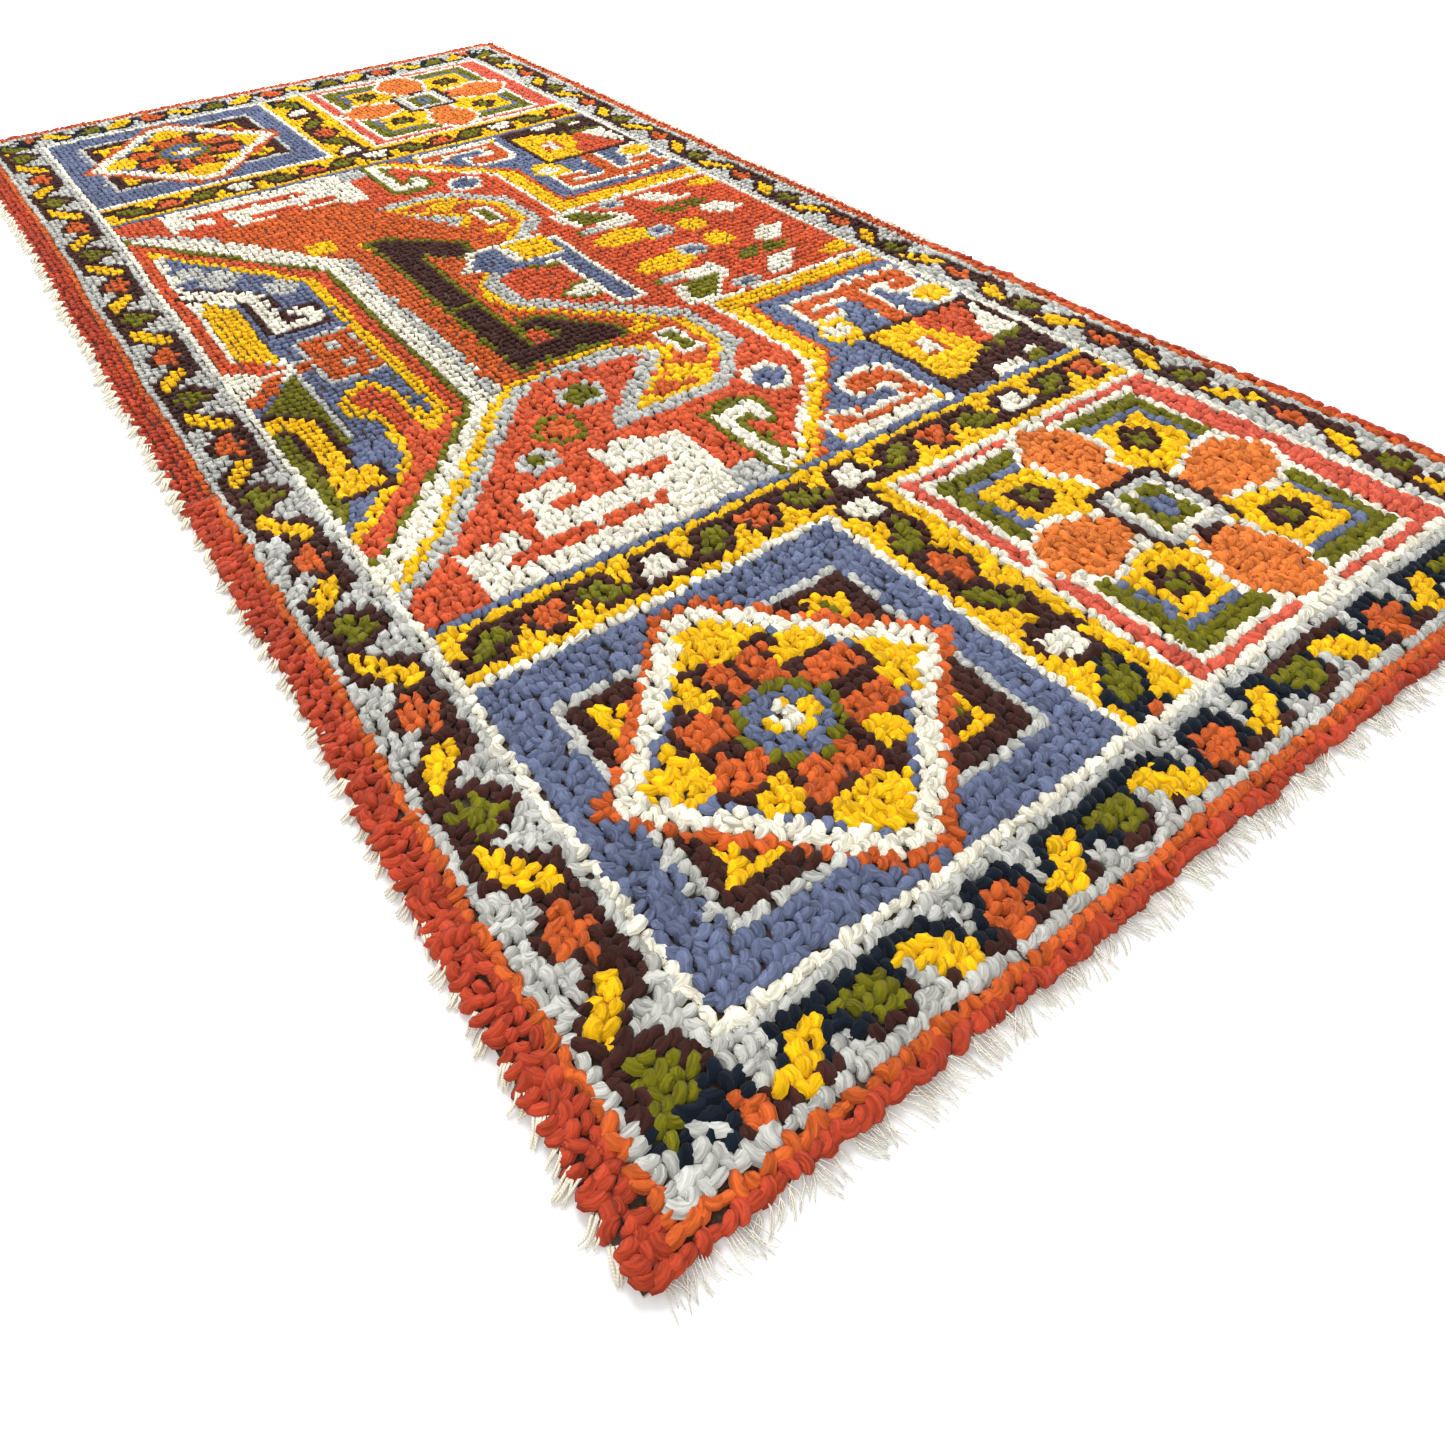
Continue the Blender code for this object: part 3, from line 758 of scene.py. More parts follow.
@dataclass(frozen=True)
class FieldLeft:
    """The slate corner at the left, which runs past the middle row, and the bands beside it."""

    def tie(self, plan: KnotPlan) -> None:
        """Ties the bands, the slate ground and its motifs."""
        self.tie_far_ground(plan)
        self.tie_bands(plan)
        self.tie_near_hooks(plan)
        self.tie_middle(plan)
        self.tie_far_hook(plan)

    @staticmethod
    def tie_far_ground(plan: KnotPlan) -> None:
        """Ties the orange ground beyond the bands and the far end of the dark bracket."""
        plan.shape(Yarn.ORANGE, (43.4, 108), (43.4, 129), (27.6, 146), (27.6, 150), (52, 150), (68, 124),
                   (66, 119), (56, 111), (56, 108))
        plan.box(Yarn.YELLOW, 39.2, 133.0, 44.2, 137.2)
        plan.box(Yarn.YELLOW, 46.6, 130.4, 50.0, 132.8)
        arm = ((48.6, 107), (52.9, 107), (52.9, 122.6), (54.4, 124.0), (57.0, 121.6), (61.0, 121.3),
               (61.4, 124.4), (52.4, 131.6), (48.6, 131.6))
        plan.line(Yarn.OLIVE, 2.0, *arm, arm[0])
        plan.shape(Yarn.BROWN, *arm)
        plan.shape(Yarn.CREAM, (56.0, 115.4), (60.6, 120.8), (66.2, 121.2), (74, 121.2), (74, 112.6),
                   (61.6, 112.6))
        plan.shape(Yarn.SLATE, (57.6, 115.3), (61.2, 119.6), (65.2, 119.8), (65.4, 113.8), (74, 112.8),
                   (74, 111.6), (62.4, 111.6))
        plan.shape(Yarn.YELLOW, (66.4, 120.0), (74, 119.8), (74, 113.8), (67.6, 113.8))

    @staticmethod
    def fill_left(plan: KnotPlan, yarn: Yarn, *corners: Point) -> None:
        """Fills what lies left of a line that slants in, runs up and slants back out."""
        edge = INNER_LEFT - 1
        plan.shape(yarn, (edge, corners[0][1]), *corners, (edge, corners[-1][1]))

    def tie_bands(self, plan: KnotPlan) -> None:
        """Ties the parallel bands round the slate: grey, cream, olive, red and yellow."""
        plan.box(Yarn.GREY, 41.8, 84.6, 43.5, 128.6)
        self.fill_left(plan, Yarn.CREAM, (20, 66.6), (41.9, 84.4), (41.9, 130.2), (31.0, 143.6),
                       (20.0, 152.0), (14.0, 156.0))
        plan.line(Yarn.YELLOW, 1.5, (20, 63.6), (22.4, 65.2), (28, 70), (33, 75), (39, 80.4), (45, 85.6))
        for yarn, *corners in (
            (Yarn.OLIVE, (14, 63.4), (29.2, 75.6), (38.9, 84.2), (38.9, 128.0),
             (27.4, 140.6), (14.6, 154.6)),
            (Yarn.FIELD, (14, 64.2), (28.8, 76.4), (38.0, 85.0), (38.0, 127.4),
             (26.4, 140.2), (14.0, 153.6)),
            (Yarn.YELLOW, (14, 67.6), (26.8, 77.8), (35.7, 85.0), (35.7, 126.4),
             (24.6, 139.6), (16.6, 148.6)),
            (Yarn.SLATE, (14, 69.2), (22.0, 76.2), (34.4, 86.2), (34.4, 126.2),
             (23.6, 138.8), (16.6, 146.6)),
        ):
            self.fill_left(plan, yarn, *corners)

    @staticmethod
    def tie_near_hooks(plan: KnotPlan) -> None:
        """Ties the red hook, the yellow hook and the olive pieces in the near part of the slate."""
        yellow, brown, olive = Yarn.YELLOW, Yarn.BROWN, Yarn.OLIVE
        plan.shape(yellow, (22, 75.4), (26.0, 79.4), (26.6, 87.0), (26.2, 89.2), (24.0, 90.0), (23.9, 93.0),
                   (26.4, 96.0), (28.8, 96.9), (30.8, 95.6), (32.4, 92.6), (32.6, 84.0), (33.0, 83.6),
                   (34.4, 86.6), (36.0, 86.4), (35.4, 82.0), (28, 76.0))
        plan.shape(Yarn.FIELD, (21.6, 73.2), (27.2, 78.6), (27.9, 84.6), (28.4, 88.6), (27.4, 90.6),
                   (25.6, 91.2), (25.6, 92.8), (27.2, 94.7), (28.6, 95.2), (29.8, 94.4), (30.8, 92.2),
                   (30.9, 85.0), (30.6, 82.2), (32.4, 81.6), (34.8, 84.2), (35.9, 86.4), (38.0, 88.0),
                   (38.0, 85.0), (29.0, 76.6), (22.0, 70.6))
        plan.box(olive, 13.6, 76.0, 16.2, 91.6)
        plan.shape(olive, (13.6, 72.0), (13.6, 76.4), (15.6, 76.4), (16.4, 73.4), (14.6, 71.6))
        plan.shape(olive, (14.6, 96.0), (21.8, 103.6), (22.2, 103.0), (22.2, 85.6), (20.8, 85.4),
                   (20.6, 91.8), (18.0, 94.2))
        hook = ((13.4, 94.2), (16.2, 93.2), (18.4, 91.0), (18.5, 85.0), (18.0, 80.0))
        plan.line(brown, 4.4, *hook)
        plan.box(brown, 15.6, 75.2, 22.9, 80.0)
        plan.box(yellow, 16.4, 76.4, 21.6, 79.8)
        plan.line(yellow, 2.8, *hook)
        plan.shape(yellow, (13.4, 96.6), (15.2, 94.8), (15.6, 92.6), (13.4, 92.0))
        plan.box(Yarn.GREY, 22.0, 86.2, 23.0, 104.0)
        plan.shape(Yarn.CREAM, (13, 98.2), (13, 108.0), (22.6, 108.0), (22.6, 104.2), (15.0, 97.4))
        plan.line(Yarn.ORANGE, 2.4, (13.4, 98.6), (17.6, 101.4), (19.4, 103.6))

    @staticmethod
    def tie_middle(plan: KnotPlan) -> None:
        """Ties the pair of orange squares with their arm, and the red band that turns in at the left."""
        grey, orange = Yarn.GREY, Yarn.ORANGE
        plan.box(grey, 25.4, 97.8, 34.6, 111.2)
        plan.box(orange, 26.2, 98.6, 33.5, 110.2)
        plan.box(grey, 28.6, 101.4, 30.8, 103.2)
        plan.box(grey, 28.6, 106.0, 30.8, 108.0)
        plan.box(grey, 22.2, 102.8, 26.2, 106.0)
        plan.box(orange, 23.0, 103.4, 26.8, 105.2)
        plan.box(Yarn.YELLOW, 34.4, 84.0, 35.6, 127.0)
        plan.shape(Yarn.CREAM, (13, 103.6), (13, 109.0), (16.6, 112.0), (23.0, 107.4), (23.0, 103.2),
                   (20.0, 103.6))
        plan.shape(Yarn.FIELD, (13.8, 152.0), (13.8, 109.4), (15.4, 107.0), (18.6, 105.4), (21.6, 105.2),
                   (21.2, 106.4), (18.6, 108.6), (16.4, 110.6), (16.4, 149.8))
        plan.line(Yarn.CREAM, 1.2, (16.9, 110.4), (16.9, 146.0))
        plan.shape(Yarn.YELLOW, (17.2, 110.2), (22.2, 106.3), (22.4, 122.2), (20.6, 125.4), (18.6, 128.2),
                   (17.2, 126.0))

    @staticmethod
    def tie_far_hook(plan: KnotPlan) -> None:
        """Ties the cream hook with its dark outline and the grey spots beyond it."""
        hook = ((17.4, 131.4), (20.4, 129.4), (25.3, 125.6), (25.3, 115.0), (31.2, 115.0), (31.2, 118.2),
                (29.0, 118.2))
        plan.line(Yarn.BROWN, 4.3, *hook)
        plan.line(Yarn.CREAM, 2.5, *hook)
        plan.shape(Yarn.CREAM, (17.0, 133.4), (17.6, 129.6), (20.8, 125.6), (25.4, 124.4), (26.3, 126.8),
                   (22.0, 130.0))
        plan.box(Yarn.BROWN, 27.4, 116.6, 30.0, 117.4)
        plan.disc(Yarn.GREY, 20.0, 138.0, 2.4, 2.3)
        plan.disc(Yarn.GREY, 23.5, 134.0, 3.2, 2.8)
        plan.disc(Yarn.GREY, 30.4, 126.6, 2.8, 2.5)


def knotted_plan() -> KnotPlan:
    """Ties the whole pattern, whose far end repeats the near end turned over."""
    plan = KnotPlan()
    borders = Borders()
    borders.tie_near(plan)
    CrossBorders().tie(plan)
    DiamondPanel().tie(plan)
    RoundsPanel().tie(plan)
    FieldNear().tie(plan)
    plan.mirror_far_half()
    FieldLeft().tie(plan)
    borders.tie_sides(plan)
    borders.tie_corners(plan)
    return plan


def add_node(tree: bpy.types.NodeTree, kind: str, settings: dict[str, Any] | None = None,
             links: dict[Any, Any] | None = None, **values: Any) -> bpy.types.Node:
    """Adds a node with its settings and links.

    Args:
        tree: The node tree.
        kind: The node's type name.
        settings: Its own settings by attribute name.
        links: For an input's name or number, the output socket to link to it or the value to give it.
        values: For an input whose name is one word, the same.

    Returns:
        The new node.
    """
    node = tree.nodes.new(kind)
    for name, value in (settings or {}).items():
        setattr(node, name, value)
    for name, value in {**(links or {}), **values}.items():
        socket = node.inputs[name]
        if isinstance(value, bpy.types.NodeSocket):
            tree.links.new(value, socket)
        else:
            socket.default_value = value
    return node


def start_material(name: str, values: dict[str, Any]) -> tuple[bpy.types.Material, bpy.types.Node]:
    """Makes a material whose shader has some values of its own.

    Args:
        name: The material's name.
        values: For an input's name on the shader, the value to give it.

    Returns:
        The material and its shader.
    """
    material = bpy.data.materials.new(name)
    material.use_nodes = True
    shader = material.node_tree.nodes["Principled BSDF"]
    for label, value in values.items():
        shader.inputs[label].default_value = value
    return material, shader


def link_object(name: str, data: bpy.types.ID, home: bpy.types.Collection | None = None) -> bpy.types.Object:
    """Puts a mesh, a light or a camera into a collection, by default the scene's own."""
    made = bpy.data.objects.new(name, data)
    home = bpy.context.scene.collection if home is None else home
    home.objects.link(made)
    return made


@dataclass(frozen=True)
class WoolPile:
    """Unspun village wool, dyed in the fleece: matt and streaky along each curl, with painted shade at its
    roots and in the grooves between its locks.
    """

    name: str = "wool_pile_knotted"
    lock: float = 3.0 * MM            # one lock of fleece within a curl
    streak: float = 1.5 * MM          # one visible strand, drawn coarser than the real fibre
    curl_girth: float = 24 * MM       # what the strand map's first axis counts as, round a curl
    curl_length: float = 18 * MM      # what its second axis counts as, along a curl
    stretch: float = 6.0              # how much longer than wide a streak is
    curl_spread: float = 41.0         # how far apart curls of different tones read the noise
    abrash: float = 160 * MM          # width of a stretch dyed in one batch
    # Painted shade: the tone to which a curl's colour darkens at its root, where the pile shades it
    painted_root_shade: float = 0.35
    root_share: float = 0.30          # of a curl's length that the painted shade at its root takes
    relief: float = 2.4 * MM
    streak_relief: float = 0.4        # of the streaks, against the locks'
    roughness: float = 0.9
    gloss: float = 0.12
    sheen: float = 0.06
    sheen_roughness: float = 0.45

    def build(self) -> bpy.types.Material:
        """Makes the material."""
        material, shader = start_material(self.name, {
            "Roughness": self.roughness, "Specular IOR Level": self.gloss,
            "Sheen Weight": self.sheen, "Sheen Roughness": self.sheen_roughness,
        })
        tree = material.node_tree
        yarn = add_node(tree, "ShaderNodeAttribute", {"attribute_name": "yarn"})
        shade = add_node(tree, "ShaderNodeAttribute", {"attribute_name": "shade"})
        strand = add_node(tree, "ShaderNodeUVMap", {"uv_map": "strand"})
        apart = add_node(tree, "ShaderNodeSeparateXYZ", Vector=strand.outputs["UV"])
        locks = self.fleece(tree, apart, shade, width=self.lock, detail=2.0)
        streaks = self.fleece(tree, apart, shade, width=self.streak, detail=3.0)
        spot = add_node(tree, "ShaderNodeTexCoord")
        batch = add_node(tree, "ShaderNodeTexNoise", None, Vector=spot.outputs["Object"],
                         Scale=1.0 / self.abrash, Detail=2.0)
        # Painted shade: each curl darkens towards its root, where the curls around it shade it
        level = add_node(tree, "ShaderNodeMapRange", {"interpolation_type": "SMOOTHSTEP"},
                         {"Value": apart.outputs["Y"], "From Min": 0.0, "From Max": self.root_share,
                          "To Min": self.painted_root_shade, "To Max": 1.0}).outputs[0]
        # Each source of unevenness, the span of it that counts, and the tones at the span's two ends; the
        # locks' dark end is also painted shade in the grooves between them
        for source, low, high, dark, light in (
            # Locks: the fleece's own tone, and painted shade in the grooves between locks where the bump
            # sinks
            (locks, 0.36, 0.56, 0.62, 1.06),
            (streaks, 0.34, 0.64, 0.80, 1.14),
            (batch.outputs["Fac"], 0.3, 0.7, 0.90, 1.08),
            (shade.outputs["Fac"], 0.0, 1.0, 0.84, 1.14),
        ):
            span = {"From Min": low, "From Max": high, "To Min": dark, "To Max": light}
            part = add_node(tree, "ShaderNodeMapRange", None, {"Value": source, **span})
            level = add_node(tree, "ShaderNodeMath", {"operation": "MULTIPLY"},
                             {0: level, 1: part.outputs[0]}).outputs[0]
        dyed = add_node(tree, "ShaderNodeVectorMath", {"operation": "SCALE"},
                        {"Vector": yarn.outputs["Color"], "Scale": level})
        height = add_node(tree, "ShaderNodeMath", {"operation": "MULTIPLY_ADD"},
                          {0: streaks, 1: self.streak_relief, 2: locks})
        relief = add_node(tree, "ShaderNodeBump", None, Height=height.outputs[0], Strength=1.0,
                          Distance=self.relief)
        tree.links.new(dyed.outputs[0], shader.inputs["Base Color"])
        tree.links.new(relief.outputs[0], shader.inputs["Normal"])
        return material

    def fleece(self, tree: bpy.types.NodeTree, apart: bpy.types.Node, shade: bpy.types.Node, width: float,
               detail: float) -> bpy.types.NodeSocket:
        """Adds a noise that runs along each curl, different from curl to curl.

        Args:
            tree: The material's node tree.
            apart: The node whose X runs round a curl and whose Y runs along it.
            shade: The node that gives each curl's own tone.
            width: Width of one streak.
            detail: The noise's detail.

        Returns:
            The noise's value.
        """
        own = add_node(tree, "ShaderNodeMath", {"operation": "MULTIPLY"},
                       {0: shade.outputs["Fac"], 1: self.curl_spread})
        around = add_node(tree, "ShaderNodeMath", {"operation": "MULTIPLY"},
                          {0: apart.outputs["X"], 1: self.curl_girth / width})
        length = add_node(tree, "ShaderNodeMath", {"operation": "MULTIPLY"},
                          {0: apart.outputs["Y"], 1: self.curl_length / width / self.stretch})
        place = add_node(tree, "ShaderNodeCombineXYZ", X=around.outputs[0], Y=length.outputs[0],
                         Z=own.outputs[0])
        noise = add_node(tree, "ShaderNodeTexNoise", None, Vector=place.outputs[0], Scale=1.0,
                         Detail=detail, Roughness=0.6, Distortion=0.5)
        return noise.outputs["Fac"]


@dataclass(frozen=True)
class WovenBack:
    """The flat-woven ground with the knots' backs: a small even grain that shows the pattern, with painted
    shade between its threads.
    """

    name: str = "woven_ground"
    pace: float = 0.62                # of the waves that draw the threads, on a map counted in knots
    tones: Point = (0.62, 1.05)       # painted shade between the threads, and the full tone on them
    relief: float = 0.8 * MM
    roughness: float = 0.92
    gloss: float = 0.2

    def build(self) -> bpy.types.Material:
        """Makes the material."""
        material, shader = start_material(self.name, {
            "Roughness": self.roughness, "Specular IOR Level": self.gloss,
        })
        tree = material.node_tree
        yarn = add_node(tree, "ShaderNodeAttribute", {"attribute_name": "yarn"})
        cloth = add_node(tree, "ShaderNodeUVMap", {"uv_map": "cloth"})
        across = add_node(tree, "ShaderNodeTexWave", {"wave_type": "BANDS", "bands_direction": "X"},
                          Vector=cloth.outputs["UV"], Scale=self.pace, Distortion=0.6)
        along = add_node(tree, "ShaderNodeTexWave", {"wave_type": "BANDS", "bands_direction": "Y"},
                         Vector=cloth.outputs["UV"], Scale=self.pace, Distortion=0.8)
        weave = add_node(tree, "ShaderNodeMath", {"operation": "MULTIPLY"},
                         {0: across.outputs["Fac"], 1: along.outputs["Fac"]})
        # Painted shade: darker between the threads, where the bump sinks
        level = add_node(tree, "ShaderNodeMapRange", None,
                         {"Value": weave.outputs[0], "To Min": self.tones[0], "To Max": self.tones[1]})
        dyed = add_node(tree, "ShaderNodeVectorMath", {"operation": "SCALE"},
                        {"Vector": yarn.outputs["Color"], "Scale": level.outputs[0]})
        relief = add_node(tree, "ShaderNodeBump", None, Height=weave.outputs[0], Strength=0.8,
                          Distance=self.relief)
        tree.links.new(dyed.outputs[0], shader.inputs["Base Color"])
        tree.links.new(relief.outputs[0], shader.inputs["Normal"])
        return material


@dataclass(frozen=True)
class UndyedYarn:
    """Cream yarn, plied by hand and left undyed: a soft twist with painted shade between the plies, and a
    slightly uneven tone.
    """

    name: str
    tone: str = "#FBF5E6"
    twist: float = 2.4 * MM           # length of one turn of the ply
    strand_length: float = 26 * MM
    strand_tones: Point = (0.86, 1.04)    # of the darkest bunch and the lightest one
    ply_shade_tones: Point = (0.84, 1.0)        # painted shade between the plies, and the full tone on them
    relief: float = 0.25 * MM
    roughness: float = 0.85
    gloss: float = 0.3
    sheen: float = 0.2

    def build(self) -> bpy.types.Material:
        """Makes the material."""
        material, shader = start_material(self.name, {
            "Roughness": self.roughness, "Specular IOR Level": self.gloss, "Sheen Weight": self.sheen,
        })
        tree = material.node_tree
        strand = add_node(tree, "ShaderNodeUVMap", {"uv_map": "strand"})
        apart = add_node(tree, "ShaderNodeSeparateXYZ", Vector=strand.outputs["UV"])
        turns = add_node(tree, "ShaderNodeMath", {"operation": "MULTIPLY"},
                         {0: apart.outputs["Y"], 1: self.strand_length / self.twist})
        slant = add_node(tree, "ShaderNodeMath", {"operation": "ADD"},
                         {0: turns.outputs[0], 1: apart.outputs["X"]})
        phase = add_node(tree, "ShaderNodeMath", {"operation": "MULTIPLY"},
                         {0: slant.outputs[0], 1: math.tau})
        ply = add_node(tree, "ShaderNodeMath", {"operation": "SINE"}, {0: phase.outputs[0]})
        shade = add_node(tree, "ShaderNodeAttribute", {"attribute_name": "shade"})
        by_strand = add_node(tree, "ShaderNodeMapRange", None,
                             {"Value": shade.outputs["Fac"], "To Min": self.strand_tones[0],
                              "To Max": self.strand_tones[1]})
        # Painted shade: darker between the plies, where the bump sinks
        by_ply = add_node(tree, "ShaderNodeMapRange", None,
                          {"Value": ply.outputs[0], "From Min": -1.0, "To Min": self.ply_shade_tones[0],
                           "To Max": self.ply_shade_tones[1]})
        level = add_node(tree, "ShaderNodeMath", {"operation": "MULTIPLY"},
                         {0: by_strand.outputs[0], 1: by_ply.outputs[0]})
        toned = add_node(tree, "ShaderNodeVectorMath", {"operation": "SCALE"},
                         {"Vector": linear_colour(self.tone)[:3], "Scale": level.outputs[0]})
        relief = add_node(tree, "ShaderNodeBump", None, Height=ply.outputs[0], Strength=0.5,
                          Distance=self.relief)
        tree.links.new(toned.outputs[0], shader.inputs["Base Color"])
        tree.links.new(relief.outputs[0], shader.inputs["Normal"])
        return material


@dataclass(frozen=True)
class PaleFloor:
    """A matt white studio floor."""

    name: str = "studio_floor"
    tone: str = "#F2F2F2"
    roughness: float = 0.9
    gloss: float = 0.1

    def build(self) -> bpy.types.Material:
        """Makes the material."""
        material, _ = start_material(self.name, {
            "Base Color": linear_colour(self.tone),
            "Roughness": self.roughness, "Specular IOR Level": self.gloss,
        })
        return material


class YarnMesh:
    """Gathers soft strands, each lofted along a line, into one template mesh with its maps."""

    # Shares of a strand's cell in the unwrapped map: where its wall lies, and its two closed ends
    wall_start: Point = (0.06, 0.10)
    wall_size: Point = (0.88, 0.80)
    end_radius: float = 0.035
    end_margin: float = 0.045

    def __init__(self, sides: int, strands: int = 1) -> None:
        """Starts an empty template.

        Args:
            sides: Faces round a strand.
            strands: How many strands the template will hold, which share the unwrapped map.
        """
        self.sides = sides
        self.strands = strands
        self.verts: list[Vector] = []
        self.faces: list[tuple[int, ...]] = []
        self.strand_map: list[Point] = []
        self.flat_map: list[Point] = []

    def add_strand(self, line: Sequence[Vector], wide: Sequence[float], thick: Sequence[float]) -> None:
        """Lofts one closed strand.

        Args:
            line: The points that its middle follows.
            wide: Its width at each point, measured level.
            thick: Its thickness at each point.
        """
        start, rings = len(self.verts), len(line)
        slot = start // (self.sides * rings)
        for place, middle in enumerate(line):
            ahead = line[min(place + 1, rings - 1)] - line[max(place - 1, 0)]
            flat = Vector((-ahead.y, ahead.x, 0.0))
            flat = flat.normalized() if flat.length > 1e-9 else Vector((1.0, 0.0, 0.0))
            lift = ahead.normalized().cross(flat)
            for side in range(self.sides):
                turn = math.tau * (side + 0.5) / self.sides - math.pi / 2
                self.verts.append(middle + flat * math.cos(turn) * wide[place] / 2
                                  + lift * math.sin(turn) * thick[place] / 2)
        for place in range(rings - 1):
            for side in range(self.sides):
                across = (side + 1) % self.sides
                low, high = start + place * self.sides, start + (place + 1) * self.sides
                self.faces.append((low + side, low + across, high + across, high + side))
                shares = [(side, place), (side + 1, place), (side + 1, place + 1), (side, place + 1)]
                for over, up in shares:
                    self.note(over / self.sides, up / (rings - 1), slot)
        self.close_end([start + side for side in reversed(range(self.sides))], 0.0, slot)
        last = start + (rings - 1) * self.sides
        self.close_end([last + side for side in range(self.sides)], 1.0, slot)

    def note(self, over: float, up: float, slot: int) -> None:
        """Notes both maps for one corner of a wall face."""
        self.strand_map.append((over, up))
        self.flat_map.append(((slot + self.wall_start[0] + self.wall_size[0] * over) / self.strands,
                              self.wall_start[1] + self.wall_size[1] * up))

    def close_end(self, ring: list[int], up: float, slot: int) -> None:
        """Closes a strand's end with one face and maps it beside the wall."""
        self.faces.append(tuple(ring))
        middle = (slot + 0.5) / self.strands
        height = self.end_margin + (1.0 - 2.0 * self.end_margin) * up
        for number in range(len(ring)):
            turn = math.tau * number / len(ring)
            self.strand_map.append((0.5, up))
            self.flat_map.append((middle + self.end_radius * math.cos(turn),
                                  height + self.end_radius * math.sin(turn)))

    def build(self, name: str, home: bpy.types.Collection) -> bpy.types.Object:
        """Turns what was gathered into a smooth object in a collection."""
        mesh = bpy.data.meshes.new(name)
        mesh.from_pydata([tuple(vert) for vert in self.verts], [], self.faces)
        for label, corners in (("strand", self.strand_map), ("OFBake", self.flat_map)):
            layer = mesh.uv_layers.new(name=label)
            layer.data.foreach_set("uv", np.array(corners, np.float32).ravel())
        mesh.shade_smooth()
        return link_object(name, mesh, home)


@dataclass(frozen=True)
class CurlStyle:
    """How the pile's curls are made in one stretch of rows."""

    name: str
    rows: tuple[int, int]
    sides: int
    stations: int
    spin: tuple[float, float] = (1.8, 3.6)    # least and most that a curl turns about the upright
    variants: int = 12
    length: float = 20.0 * MM
    width: float = 12.8 * MM
    thickness: float = 9.2 * MM
    lean: float = 1.5 * MM                    # how far a curl's body lies towards the near end
    fine: int = 12                            # short steps between two stations
    first_lean: float = 0.2                   # from the upright at the root, in radians
    fall: float = 1.4                         # how much further it leans when it has lain over
    straight: float = 0.12                    # share of the length before it starts to turn
    over: float = 0.36                        # share of the length by which it has lain over
    # Shares of the length, and the shares of the width and of the thickness there
    widths: tuple[Sequence[float], ...] = ((0.0, 0.25, 0.6, 0.85, 1.0), (0.42, 1.0, 1.05, 0.90, 0.42))
    depths: tuple[Sequence[float], ...] = ((0.0, 0.3, 0.7, 1.0), (0.42, 1.0, 1.0, 0.45))

    def template(self, name: str, home: bpy.types.Collection, chance: np.random.Generator) -> None:
        """Makes one lock that rises, lies over and curls round on itself.

        Args:
            name: The template's name.
            home: The collection that holds it.
            chance: Where its unevenness comes from.
        """
        steps = self.stations * self.fine
        fat = chance.uniform(0.90, 1.12)
        length = self.length * chance.uniform(0.88, 1.10) / steps
        spin = chance.choice((-1.0, 1.0)) * chance.uniform(*self.spin)
        heading = chance.uniform(-0.5, 0.5) - spin * 0.35
        droop = chance.uniform(0.1, 0.5)
        spot, line = Vector((0.0, 0.0, 0.0)), [Vector((0.0, 0.0, 0.0))]
        for step in range(steps):
            share = (step + 0.5) / steps
            lean = self.first_lean + self.fall * min(share / self.over, 1.0) + droop * share
            turn = heading + spin * max(share - self.straight, 0.0) / (1.0 - self.straight)
            run = Vector((math.sin(turn) * math.sin(lean), -math.cos(turn) * math.sin(lean), math.cos(lean)))
            spot = spot + run * length
            if (step + 1) % self.fine == 0:
                line.append(spot.copy())
        body = sum(line[1:], Vector((0.0, 0.0, 0.0))) / self.stations
        shift = Vector((-body.x, -body.y - self.lean, 0.0))
        shares = np.linspace(0.0, 1.0, self.stations + 1)
        wide = self.width * np.interp(shares, *self.widths) * fat
        thick = self.thickness * np.interp(shares, *self.depths) * fat
        mesh = YarnMesh(self.sides)
        mesh.add_strand([place + shift for place in line], list(wide), list(thick))
        mesh.build(name, home)


